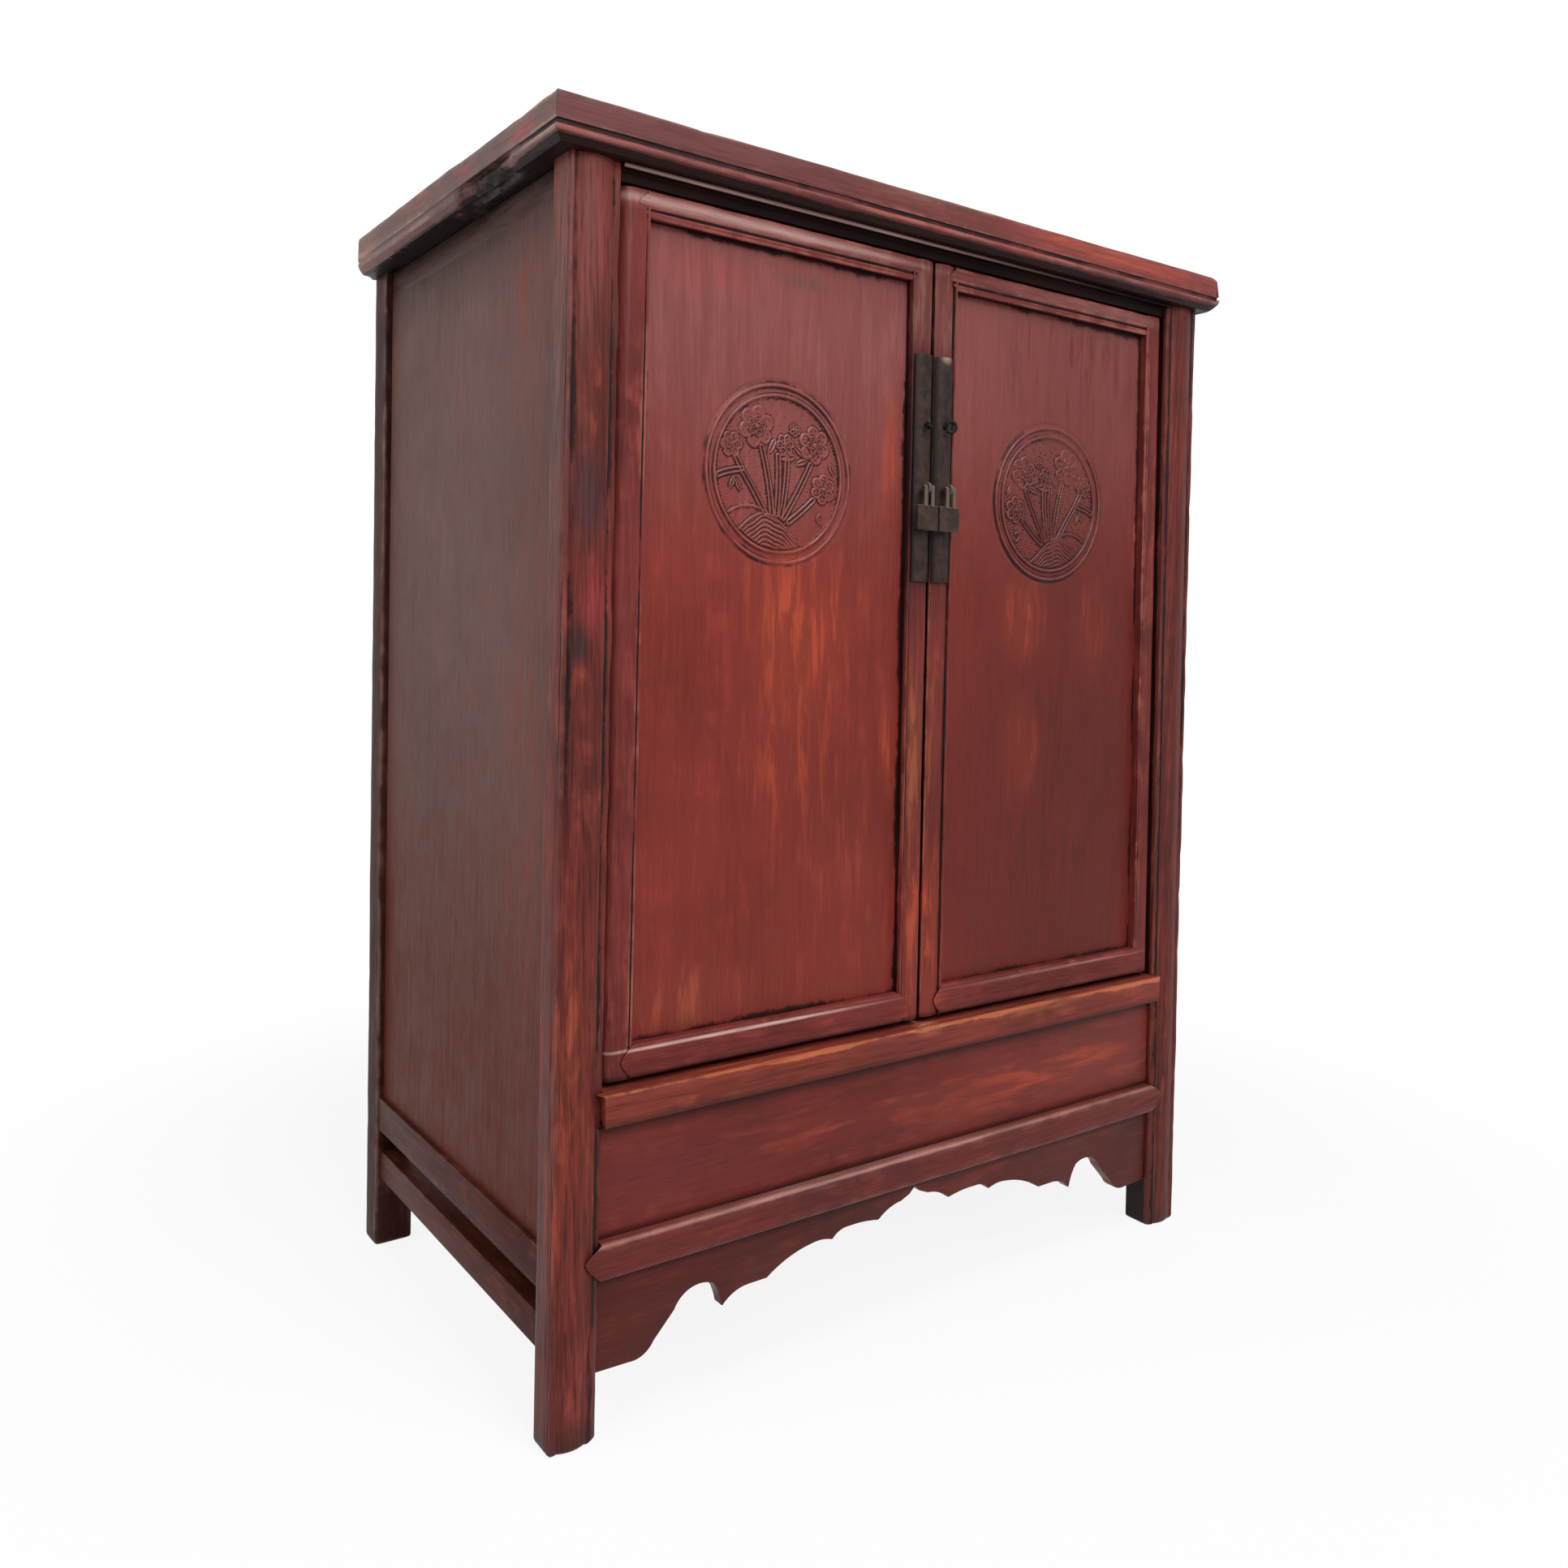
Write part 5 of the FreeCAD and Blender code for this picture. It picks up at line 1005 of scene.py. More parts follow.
@dataclass(frozen=True)
class Carcass:
    """Outer faces of the posts, all leaning inwards as they rise, and the front rails.

    Attributes:
        half_width: Outer face of a post at the floor, from the middle.
        side_slope: Inward lean of the sides per unit of height.
        front: Most forward line of the front posts at the floor.
        front_slope: Backward lean of the front.
        back: Back face of the back posts at the floor.
        back_slope: Forward lean of the back.
        top_under: Underside of the top.
        post_width: Width of a front post.
        back_width: Width of a back post.
        post_depth: Depth of a post.
        waist: Lower and upper face of the lower front rail.
        sill_levels: Lower and upper face of the sill.
    """

    half_width: float = 507 * MM
    side_slope: float = 36.8 / 1350
    front: float = -303 * MM
    front_slope: float = 20 / 1350
    back: float = 303 * MM
    back_slope: float = 4 / 1350
    top_under: float = 1306 * MM
    post_width: float = 57 * MM
    back_width: float = 52 * MM
    post_depth: float = 46 * MM
    waist: tuple[float, float] = (176 * MM, 217 * MM)
    sill_levels: tuple[float, float] = (343 * MM, 379 * MM)

    def inner(self, level: Array | float) -> Array | float:
        """Inner face of a front post at a level, from the middle."""
        return self.half_width - self.side_slope * level - self.post_width

    def front_at(self, level: float) -> float:
        """Most forward line of the front posts at a level."""
        return self.front + self.front_slope * level

    def front_post(self, wear: Wear) -> Surface:
        """Left front post: a beaded corner, a rounded face and an inner strip.

        Formula: the plan at the floor, moved in and back with height by the two slopes; the
        quirks beside the bead are filled from 0 at 850 mm up to nine tenths at 400 mm, and the
        step to the inner strip is filled under the sill.

        Args:
            wear: Its wear.

        Returns:
            The surface.
        """
        left, right = -self.half_width, -self.half_width + self.post_width
        face, strip, rear = self.front + 3 * MM, self.front + 7 * MM, self.front + self.post_depth
        turn = right - 13 * MM
        corners = [(left, rear), (left, face + 8 * MM), (left + 1.8 * MM, face + 6.5 * MM), (left, face + 5 * MM),
                   (left, face), (left + 5 * MM, face), (left + 6.5 * MM, face + 1.8 * MM)]
        corners += bowed((left + 8 * MM, face + 2.2 * MM), (turn, face + 1 * MM), 4.6 * MM)
        corners += [(turn, face + 1 * MM), (turn + 3.4 * MM, face + 2 * MM), (turn + 4 * MM, strip), (right, strip),
                    (right, rear)]
        radii = [8, 1, 0.5, 1, 2.5, 1, 0.5, 1] + [0] * 9 + [2, 0.6, 1.2, 1]
        outline = rounded_section(corners, radii, 6)
        # Painted shade on the post's inner side face, beside the door.
        section = outline.shaded_beyond(1, strip + 4 * MM, 4 * MM)
        section.hollow *= section.points[:, 0] > turn - 1 * MM
        x, y = section.points.T
        beside = (x < left + 1.9 * MM) & (y > face + 4.4 * MM) & (y < face + 8.6 * MM)
        before = (y < face + 2.3 * MM) & (x > left + 4.4 * MM) & (x < left + 8.6 * MM)
        fill_across = np.where(beside, left - x, 0.0)
        fill_depth = np.where(before, face + 0.4 * (x - left - 4.4 * MM) - y, 0.0)
        inside = (x > turn) & (y < strip + 1.2 * MM)
        fill_strip = np.where(inside, face + 5 * MM * ((x - turn) / (right - turn)) ** 2 - y, 0.0).clip(-6 * MM, 0.0)

        def place(along: Array, across: Array, depth: Array) -> tuple[Array, Array, Array]:
            """Plan at the floor to world, with the quirks worn away towards the foot."""
            worn, low = 0.9 * held((0.85 - along) / 0.45), held((0.39 - along) / 0.05)
            return (across + fill_across * worn + self.side_slope * along,
                    depth + fill_depth * worn + fill_strip * low + self.front_slope * along, along)

        surface = swept(section, 0.0, self.top_under, place, wear)
        level = surface.points[:, 2]
        # Dirt and painted shade in the quirks beside the bead, from 450 mm upwards.
        quirks = np.tile(outline.hollow, len(level) // len(outline.hollow)) * np.clip((level - 0.45) / 0.4, 0.0, 0.8)
        surface.masks["hollow"] = np.maximum(surface.masks["hollow"], quirks)
        return surface

    def back_post(self, wear: Wear) -> Surface:
        """Left back post with rounded outer corners.

        Args:
            wear: Its wear.

        Returns:
            The surface.
        """
        left, right, fore = -self.half_width, -self.half_width + self.back_width, self.back - self.post_depth
        section = rounded_section([(left, self.back), (left, fore), (right, fore), (right, self.back)], [8, 3, 1, 1], 9)
        return swept(section, 0.0, self.top_under, lambda along, across, depth: (
            across + self.side_slope * along, depth - self.back_slope * along, along), wear)

    def lower_rail(self, wear: Wear) -> Surface:
        """Rounded lower front rail whose pointed tips lie on the posts.

        Formula of the tips: the ends of the face layer reach past the posts' inner faces by
        20 mm times one minus the 1.4th power of the distance from the tip's level over half the
        height.

        Args:
            wear: Its wear.

        Returns:
            The surface.
        """
        low, high = self.waist
        face = self.front_at((low + high) / 2.0)
        layer, rear = face + 9 * MM, self.front_at(low) + self.post_depth
        section = rounded_section([(rear, high), (layer, high), (face, high), (face, low), (layer, low), (rear, low)],
                                  [0.6, 0, 4, 9, 0, 0.6], 5)
        depth, level = section.points.T
        middle = (low + high) / 2.0 + 4 * MM
        reach = 1.0 - (np.abs(level - middle) / np.where(level > middle, high - middle, middle - low)) ** 1.4
        end = self.inner(level) + np.where(depth < layer - 0.1 * MM, 20 * MM * held(reach), 0.0)
        return swept(section, -end, end, lambda along, deep, up: (along, deep, up), wear).outlined(len(level))

    def sill(self, wear: Wear) -> Surface:
        """Thick rail under the doors; its nose laps the posts, and its top arris has one old chip.

        Args:
            wear: Its wear.

        Returns:
            The surface.
        """
        low, high = self.sill_levels
        fore, rear = self.front, self.front_at(low) + self.post_depth
        chamfer, seam = fore + 5 * MM, self.front_at(low) + 6.7 * MM
        section = rounded_section(
            [(rear, high), (seam, high), (chamfer, high), (fore, high), (fore, low), (chamfer, low), (seam, low),
             (rear, low)], [0.6, 0, 0, 3.5, 3, 0, 0, 0.6], 4)
        depth, level = section.points.T
        section.edge *= level > (low + high) / 2.0
        nose = self.inner((low + high) / 2.0) + 8 * MM - np.clip(chamfer - depth, 0.0, 5 * MM)
        end = np.where(depth < seam - 0.05 * MM, nose, self.inner(level))

        def place(along: Array, deep: Array, up: Array) -> tuple[Array, Array, Array]:
            """Bar coordinates to world, with the chip in the top arris beside the door joint."""
            bite = bell(along + 6 * MM, 9 * MM) + 0.5 * bell(along - 16 * MM, 7 * MM)
            bite = 4.5 * MM * bite * bell(np.hypot(high - up, deep - fore), 7 * MM)
            return along, deep + bite, up - bite

        return swept(section, -end, end, place, wear, 8)

    def dress(self, effects: Effects) -> None:
        """Make the posts and rails and let them ride on the cabinet.

        Args:
            effects: The shared groups.
        """
        for title, shape, finish, way, slot, node in (
            ("front_post_left", self.front_post(Wear(0.7, 2.4, 0.7, (6, 0), 11)), POST, Way.UPRIGHT, "front",
             "post_front_left"),
            ("front_post_right", self.front_post(Wear(0.7, 2.2, 0.7, (6, 0), 23)).mirrored(), POST, Way.UPRIGHT,
             "front", "post_front_right"),
            ("rear_post_left", self.back_post(Wear(0.6, 2.0, 0.7, (6, 0), 31)), REAR, Way.UPRIGHT, "side",
             "post_back_left"),
            ("rear_post_right", self.back_post(Wear(0.6, 2.0, 0.7, (6, 0), 37)).mirrored(), REAR, Way.UPRIGHT,
             "side", "post_back_right"),
            ("waist_rail", self.lower_rail(Wear(0.4, 1.2, 0.6, (1.5, 1.5), 41)), WAIST, Way.CROSSWISE, "front",
             "lower_rail_front"),
            ("door_sill", self.sill(Wear(0.6, 2.2, 0.6, seed=47)), SILL, Way.CROSSWISE, "front", "sill_rail"),
        ):
            seat(title, shape, finish.material(effects, way), "cabinet", node)


@dataclass(frozen=True)
class MouldedTop:
    """Mitred frame of the top with a moulded edge.

    Attributes:
        high: Upper face.
        low: Lower face.
        half_width: Outer edge at the sides.
        front: Outer edge in front.
        back: Outer edge behind.
        member: Width of a member.
        waist: Level towards which a worn corner shrinks.
    """

    high: float = 1350 * MM
    low: float = 1306 * MM
    half_width: float = 496 * MM
    front: float = -300 * MM
    back: float = 300 * MM
    member: float = 90 * MM
    waist: float = 1328 * MM

    def section(self) -> Section:
        """Outline of a member: distance in from its outer edge, and level.

        Returns:
            The section.
        """
        band, bead_high, bead_low = self.high - 27 * MM, self.high - 30 * MM, self.high - 39 * MM
        corners = [(self.member, self.high), (3 * MM, self.high), (0.0, band), (2.4 * MM, band), (2.4 * MM, bead_high)]
        corners += bowed((2 * MM, bead_high), (2 * MM, bead_low), 3 * MM, 6)
        corners += [(2 * MM, bead_low), (9 * MM, self.low), (self.member, self.low)]
        outline = rounded_section(corners, [0.6, 1.8, 2.2, 0.6, 0.6, 0.5, 0, 0, 0, 0, 0, 1, 1, 0.6], 6)
        # Inner corners darken with dirt and painted shade; below the bead the underside takes painted shade.
        outline.hollow *= 0.7
        return outline.shaded_beyond(1, bead_low + 1 * MM, -3 * MM)

    def worn_corner(self, near: Array, inward: Array, up: Array) -> tuple[Array, Array]:
        """Inward distance and level where a corner of the top is rounded by wear.

        Formula: a quarter circle over the last 18 mm gives the share; times the share the edge
        moves in by 3 mm and three tenths of the way to mid height.

        Args:
            near: Distance past the line where the rounding begins.
            inward: Distance in from the outer edge.
            up: Level.

        Returns:
            The new inward distance and level.
        """
        share = 1.0 - np.sqrt(1.0 - 0.98 * held(near / (18 * MM)) ** 2)
        return inward + 3 * MM * share * (inward < 20 * MM), up + 0.3 * share * (self.waist - up)

    def front_member(self, wear: Wear) -> Surface:
        """Front member, mitred at both ends.

        Args:
            wear: Its wear.

        Returns:
            The surface.
        """
        section = self.section()
        reach = self.half_width - section.points[:, 0]

        def place(along: Array, inward: Array, up: Array) -> tuple[Array, Array, Array]:
            """Bar coordinates to world, with the worn right corner."""
            inward, up = self.worn_corner(along - self.half_width + 18 * MM, inward, up)
            return along, self.front + inward, up

        return swept(section, -reach, reach, place, wear, 5)

    def side_member(self, wear: Wear, worn: bool) -> Surface:
        """Left member, mitred in front and cut square behind.

        Args:
            wear: Its wear.
            worn: Whether its front corner is the worn one.

        Returns:
            The surface.
        """
        section = self.section()

        def place(along: Array, inward: Array, up: Array) -> tuple[Array, Array, Array]:
            """Bar coordinates to world, with a broken bead, a rubbed rear half and a round rear end.

            Args:
                along: Distance along the member.
                inward: Distance in from its outer edge.
                up: Level.

            Returns:
                The world coordinates.
            """
            outer = held((22 * MM - inward) / (12 * MM))
            nose = 7 * MM * held((1320 * MM - up) / (14 * MM)) ** 2
            rubbed = held((along + 0.09) / 0.06) * (inward < 12 * MM)
            inward = inward + rubbed * (np.maximum(nose, 0.4 * inward) - inward)
            low = held((1324 * MM - up) / (5 * MM)) * outer
            bite = np.clip(1.0 - np.abs(along + 0.125) / 0.075, 0.0, 0.35) / 0.35
            bite = bite * low * (0.85 + 0.3 * ripple(along, inward * 2.0, 0.03, wear.seed + 9))
            tail = (1.0 - np.sqrt(1.0 - held((along - 0.28) / 0.02) ** 2 * 0.98)) * outer
            inward = inward + 9 * MM * bite + 8 * MM * tail
            up = up + 6 * MM * bite + 7 * MM * tail * np.clip((self.waist - up) / (22 * MM), -1.0, 1.0)
            if worn:
                inward, up = self.worn_corner(self.front + 18 * MM - along, inward, up)
            return inward - self.half_width, along, up

        surface = swept(section, self.front + section.points[:, 0], self.back, place, wear, 5)
        along, level = surface.points[:, 1], surface.points[:, 2]
        # Painted shade in the broken-away bead; the rubbed rear half keeps none in its corners, nor does the rear end.
        gap = held((0.078 - np.abs(along + 0.122)) / 0.01) * held((1.326 - level) / 0.004)
        smooth = held((along + 0.06) / 0.05) * (level > self.low + 1 * MM)
        hollow = np.maximum(surface.masks["hollow"] * (1.0 - smooth), 0.85 * gap)
        surface.masks["hollow"] = hollow * held((0.29 - along) / 0.006)
        surface.masks["edge"] = surface.masks["edge"] * (1.0 - gap)
        return surface

    def dress(self, effects: Effects) -> None:
        """Make the three moulded members.

        Args:
            effects: The shared groups.
        """
        side = TOP_SIDE.material(effects, Way.DEPTHWISE)
        for where, shape, finish, slot in (
            ("front", self.front_member(Wear(0.5, 1.8, 0.6, seed=53)), TOP.material(effects, Way.CROSSWISE), "front"),
            ("left", self.side_member(Wear(0.3, 1.4, 0.3, seed=59), False), side, "side"),
            ("right", self.side_member(Wear(0.5, 1.2, 0.6, seed=61), True).mirrored(), side, "side"),
        ):
            seat("top_edge_" + where, shape, finish, "cabinet", "top_frame_" + where)


# The doors

def near_line(across: Array, up: Array, line: Array) -> Array:
    """Distance of each point to the nearest point of a line."""
    gaps = (across[..., None] - line[:, 0]) ** 2 + (up[..., None] - line[:, 1]) ** 2
    return np.sqrt(gaps.min(axis=-1))


@dataclass(frozen=True)
class Medallion:
    """Carved roundel: two fine rings about blossoms on stems that rise from a mound.

    All places are shares of the radius, counted from the centre to the right and upwards.

    Attributes:
        radius: Outer radius of the outer ring.
        relief: Height of the rings over the panel.
        blossoms: Centre, radius and turn of each blossom.
        stems: Foot, middle and head of each stem.
        leaves: Centre, lean and length of each leaf.
    """

    radius: float = 100 * MM
    relief: float = 2.0 * MM
    blossoms: tuple = (
        (-0.31, 0.49, 0.235, 0.2), (0.47, 0.36, 0.215, 0.9), (-0.63, 0.27, 0.145, 0.5), (0.6, -0.11, 0.175, 0.1),
        (0.07, 0.33, 0.125, 0.4), (0.2, 0.5, 0.075, 0.0))
    stems: tuple = (
        ((-0.19, -0.42), (-0.34, -0.18), (-0.5, 0.02)), ((-0.5, 0.02), (-0.66, 0.0), (-0.8, -0.06)),
        ((-0.5, 0.03), (-0.54, 0.1), (-0.58, 0.16)), ((-0.1, -0.43), (-0.12, -0.1), (-0.24, 0.28)),
        ((-0.04, -0.43), (0.0, -0.1), (-0.02, 0.2)), ((0.02, -0.44), (0.1, -0.12), (0.1, 0.18)),
        ((0.06, -0.46), (0.24, -0.2), (0.42, 0.14)), ((0.13, -0.5), (0.28, -0.4), (0.46, -0.24)))
    leaves: tuple = (
        (-0.1, 0.3, 0.5, 0.11), (0.26, 0.28, -0.9, 0.1), (-0.62, -0.13, 0.4, 0.09), (-0.54, -0.15, -0.5, 0.09),
        (0.1, 0.2, 1.5, 0.14), (0.3, 0.16, 1.2, 0.1), (0.72, 0.12, -0.4, 0.09))

    @staticmethod
    def blossom(x: Array, y: Array, size: float, turn: float) -> Array:
        """Height of a blossom over its ground.

        Formula: six cupped petals and five smaller ones over them, each a shallow dome with a
        raised rim, about a round eye.

        Args:
            x: First coordinates, from the blossom's centre.
            y: Second coordinates, likewise.
            size: Radius of the blossom.
            turn: Turn of the first petal.

        Returns:
            The heights.
        """
        height = 1.6 * held(1.0 - (np.hypot(x, y) / (0.17 * size)) ** 4)
        for count, circle, petal, lift in ((6, 0.6, 0.42, 0.95), (5, 0.32, 0.22, 1.35)):
            for angle in turn + math.tau * np.arange(count) / count:
                right, rise = circle * size * math.sin(angle), circle * size * math.cos(angle)
                away = np.hypot(x - right, y - rise) / (petal * size)
                height = np.maximum(height, lift * held(1.0 - away ** 6) * (0.45 + 0.55 * bell(away - 0.74, 0.2)))
        return height

    def plants(self, x: Array, y: Array) -> Array:
        """Heights of the blossoms, stems and leaves.

        Formula: a stem is two fine ridges beside a curve with one bend; a leaf is a flat
        spindle with a cut along its middle; the highest of all counts.

        Args:
            x: First coordinates.
            y: Second coordinates.

        Returns:
            The heights.
        """
        height = np.maximum.reduce([self.blossom(x - right, y - up, size, turn)
                                    for right, up, size, turn in self.blossoms])
        open_ground = height < 0.3
        for stem in self.stems:
            gap = near_line(x, y, curve(*stem, 60))
            height = np.maximum(height, (0.95 * bell(gap - 0.024, 0.012) + 0.25 * bell(gap, 0.02)) * open_ground)
        for leaf_x, leaf_y, lean, size in self.leaves:
            along = (x - leaf_x) * math.sin(lean) + (y - leaf_y) * math.cos(lean)
            aside = (x - leaf_x) * math.cos(lean) - (y - leaf_y) * math.sin(lean)
            inside = held((0.42 * size * held(1.0 - (along / size) ** 2) - np.abs(aside)) / 0.016)
            height = np.maximum(height, inside * (0.8 - 0.55 * bell(aside, 0.009)) * open_ground)
        turn = np.linspace(0.6, 4.6, 60)
        curl = np.stack([0.58 + 0.05 * np.cos(turn) * turn / 3.0, -0.42 + 0.05 * np.sin(turn) * turn / 3.0], axis=1)
        return np.maximum(height, 0.95 * bell(near_line(x, y, curl), 0.015))

    @staticmethod
    def mound(x: Array, y: Array, away: Array) -> Array:
        """Heights of the mound.

        Formula: below a humped line, rows of waves follow the hump: the cosine of the depth
        below it, bent sideways by a slower sine.

        Args:
            x: First coordinates.
            y: Second coordinates.
            away: Distances from the centre.

        Returns:
            The heights.
        """
        depth = -0.88 + 0.45 * bell(x + 0.2, 0.46) - y
        inside = held(depth / 0.02) * held((0.81 - away) / 0.015)
        rows = 0.5 * np.cos(math.tau * (depth + 0.012 * np.sin(x * 24.0) + 0.16 * x) / 0.052)
        crest = bell(depth, 0.018) * (np.abs(x + 0.14) < 0.58) * (away < 0.82)
        wave = bell(near_line(x, y, curve((-0.66, -0.44), (-0.42, -0.28), (-0.16, -0.42), 50)), 0.016)
        return np.maximum.reduce([inside * (0.55 + 0.45 * rows), 0.8 * crest, 0.8 * wave])

    def height(self, across: Array, up: Array) -> Array:
        """Height of the carving over the panel at points measured from its centre.

        Formula: the plants and the mound over a slightly sunk, chiselled ground, inside two fine
        rings with a flat groove between and a soft hollow round them.

        Args:
            across: First coordinates.
            up: Second coordinates.

        Returns:
            The heights in metres.
        """
        x, y = across / self.radius, up / self.radius
        away = np.hypot(x, y)
        wobble = 0.005 * ripple(x, y, 1.1, 5)
        rings = (bell(away - 0.952 + wobble, 0.018) + 0.95 * bell(away - 0.846 - wobble, 0.016)
                 - 0.3 * bell(away - 1.0, 0.022) - 0.25 * bell(away - 0.9, 0.03))
        ground = -0.5 * held((0.835 - away) / 0.03) * (1.0 + 0.2 * ripple(x, y, 0.06, 9))
        figure = np.maximum(self.plants(x, y), self.mound(x, y, away)) * held((0.838 - away) / 0.02)
        return self.relief * (rings + ground + figure)


@dataclass(frozen=True)
class Door:
    """The left door in its own frame: u from the middle, v back from its face, w up from its foot.

    Attributes:
        foot: Depth and level of the door's bottom front edge.
        tilt: Backward lean in radians.
        height: Height of the door.
        half_opening: Outer edge at the foot, from the middle.
        stile: Width of a stile.
        gap: Half the joint between the doors.
        slope: Lean of the outer edge.
        thickness: Thickness of the frame.
        top_rail: Height of the top rail.
        bottom_rail: Height of the bottom rail.
        panel_face: Set-back of the panel.
        panel_back: Back of the panel.
        centre: Across and up place of the medallion.
        stile_face: Set-back of the stiles behind the rails.
    """

    foot: tuple[float, float] = (-288.296 * MM, 385 * MM)
    tilt: float = math.radians(0.8488)
    height: float = 904 * MM
    half_opening: float = 437.005 * MM
    stile: float = 33 * MM
    gap: float = 2 * MM
    slope: float = 36.8 / 1350
    thickness: float = 30 * MM
    top_rail: float = 27 * MM
    bottom_rail: float = 38 * MM
    panel_face: float = 13 * MM
    panel_back: float = 21 * MM
    centre: tuple[float, float] = (-213 * MM, 643 * MM)
    stile_face: float = 2 * MM

    def world(self, across: Array, back: Array, up: Array) -> tuple[Array, Array, Array]:
        """World coordinates of door coordinates, by the tilt about the foot."""
        cosine, sine = math.cos(self.tilt), math.sin(self.tilt)
        return across, self.foot[0] + back * cosine + up * sine, self.foot[1] - back * sine + up * cosine

    def path(self, across: Array | float, back: Array | float, up: Array | float) -> Array:
        """World points of door coordinates, one row each."""
        return np.stack(np.broadcast_arrays(*self.world(across, back, up)), axis=-1)

    def upright(self, section: Section, low: float, high: float, wear: Wear, step: float = 14.0,
                lean: float = 0.0) -> Surface:
        """A bar that stands in the door's frame.

        Args:
            section: Its outline, across and back.
            low: Its foot.
            high: Its head.
            wear: Its wear.
            step: Usual distance between two outlines, in millimetres.
            lean: Shift across per unit of height.

        Returns:
            The surface.
        """
        return swept(section, low, high, lambda along, across, back: self.world(across + lean * along, back, along),
                     wear, step)

    def inner(self, up: Array) -> Array:
        """Inner edge of the hanging stile at a height."""
        return -self.half_opening + self.stile + self.slope * up

    def panel(self, medallion: Medallion, seed: int, crease_contrast: float) -> Surface:
        """Door panel with its carving, finer lines where the medallion is.

        Formula: a grid over the opening; its front lies at the panel's face less the
        medallion's height, with a slow wave of a quarter of a millimetre; its back is flat.
        The masks follow the bend of the carving: dirt and painted shade in its creases, wear and painted highlight on
        its ridges; painted shade lies along the frame.

        Args:
            medallion: The carving.
            seed: Number that chooses the wave.
            crease_contrast: How strongly the dark creases (dirt and painted shade) and light ridges (wear and painted
                highlight) bring out the plants inside the rings.

        Returns:
            The closed surface.
        """
        tongue, reach, fine = 6 * MM, medallion.radius * 1.06, 0.76 * MM
        low, high = self.bottom_rail - tongue, self.height - self.top_rail + tongue
        inner_edge = -self.gap - self.stile

        def lines(first: float, last: float, centre: float, before: int, after: int) -> Array:
            """Grid lines from first to last, close together about the centre."""
            return np.unique(np.concatenate([
                np.linspace(first, centre - reach, before), np.arange(centre - reach, centre + reach, fine),
                np.linspace(centre + reach, last, after)]).round(6))

        level = lines(low, high, self.centre[1], 34, 14)
        steps = lines(-0.41, inner_edge + tongue, self.centre[0], 16, 8)
        left = (self.inner(level) - tongue)[:, None]
        start = self.centre[0] - reach
        share = ((steps - steps[0]) / (start - steps[0]))[None, :]
        across = np.where(share < 1.0, left + share * (start - left), steps[None, :])
        up = np.broadcast_to(level[:, None], across.shape)
        away = np.hypot(across - self.centre[0], up - self.centre[1])
        carved = np.where(away < reach, medallion.height(across - self.centre[0], up - self.centre[1]), 0.0)
        front = self.panel_face - carved + 0.25 * MM * ripple(across, up * 0.3, 90 * MM, seed)
        rows, columns = across.shape
        ring = np.concatenate([np.arange(columns), np.arange(1, rows) * columns + columns - 1,
                               (rows - 1) * columns + np.arange(columns - 2, -1, -1),
                               np.arange(rows - 2, 0, -1) * columns])
        count, first = len(ring), rows * columns
        points = np.concatenate([self.path(across, front, up).reshape(-1, 3),
                                 self.path(across.reshape(-1)[ring], self.panel_back, up.reshape(-1)[ring])])
        rim = first + np.arange(count)
        sides = np.stack([ring, rim, np.roll(rim, -1), np.roll(ring, -1)], axis=1)
        faces = grid_faces(rows, columns, False) + [tuple(side) for side in sides.tolist()]
        faces.append(tuple(rim[::-1].tolist()))
        # Creases of the carving darken with dirt and painted shade and its ridges lighten with wear and painted
        # highlight; painted shade lies along the frame, within about 4 mm.
        slope_across, slope_up = np.gradient(carved, axis=1), np.gradient(carved, axis=0)
        bend = np.gradient(slope_across, axis=1) + np.gradient(slope_up, axis=0)
        clearer = np.where(away < 0.8 * medallion.radius, crease_contrast, 0.75 + 0.25 * crease_contrast)
        bend = clearer * np.where(away < reach, bend, 0.0) / (0.3 * MM)
        beside = np.minimum.reduce([across - self.inner(up), inner_edge - across, up - self.bottom_rail,
                                    self.height - self.top_rail - up]).clip(0.0)
        hollow = np.maximum(0.78 * held(bend), 0.9 * np.exp(-beside / (4 * MM)))
        masks = {name: np.concatenate([values.reshape(-1), np.zeros(count)])
                 for name, values in (("edge", held(-bend)), ("hollow", hollow))}
        return Surface(points, faces, masks).faced()

    def hanging_stile(self, wear: Wear) -> Surface:
        """Hanging stile with a round outer edge and a small inner bead.

        Args:
            wear: Its wear.

        Returns:
            The surface.
        """
        left, right, deep, face = -self.half_opening, -self.half_opening + self.stile, self.thickness, self.stile_face
        bead = right - 3.2 * MM
        corners = [(right, deep), (left, deep), (left, face), (bead - 1.4 * MM, face),
                   (bead - 0.7 * MM, face + 1.4 * MM), (bead, face - 0.4 * MM), (right, face - 0.4 * MM)]
        # Painted shade on the parts more than 12 mm behind the face.
        section = rounded_section(corners, [1, 12, 12, 0.5, 0.3, 0.5, 1.2], 4).shaded_beyond(1, 12 * MM, 5 * MM)
        return self.upright(section, 0.0, self.height, wear, lean=self.slope)

    def meeting_stile(self, wear: Wear) -> Surface:
        """Meeting stile with a rounded face and an inner bead.

        Args:
            wear: Its wear.

        Returns:
            The surface.
        """
        right, left, deep, crown = -self.gap, -self.gap - self.stile, self.thickness, 5 * MM
        face, quirk = self.stile_face, left + 3 * MM
        corners = [(right, deep), (left, deep)] + bowed((left, face), (quirk, face), 1 * MM, 5) + [(quirk, face)]
        corners += bowed((left + 4 * MM, crown), (right, crown), crown - 1.6 * MM, 12) + [(right, crown)]
        radii = [1, 1, 0.5] + [0] * 4 + [0.3, 0.4] + [0] * 11 + [1.5]
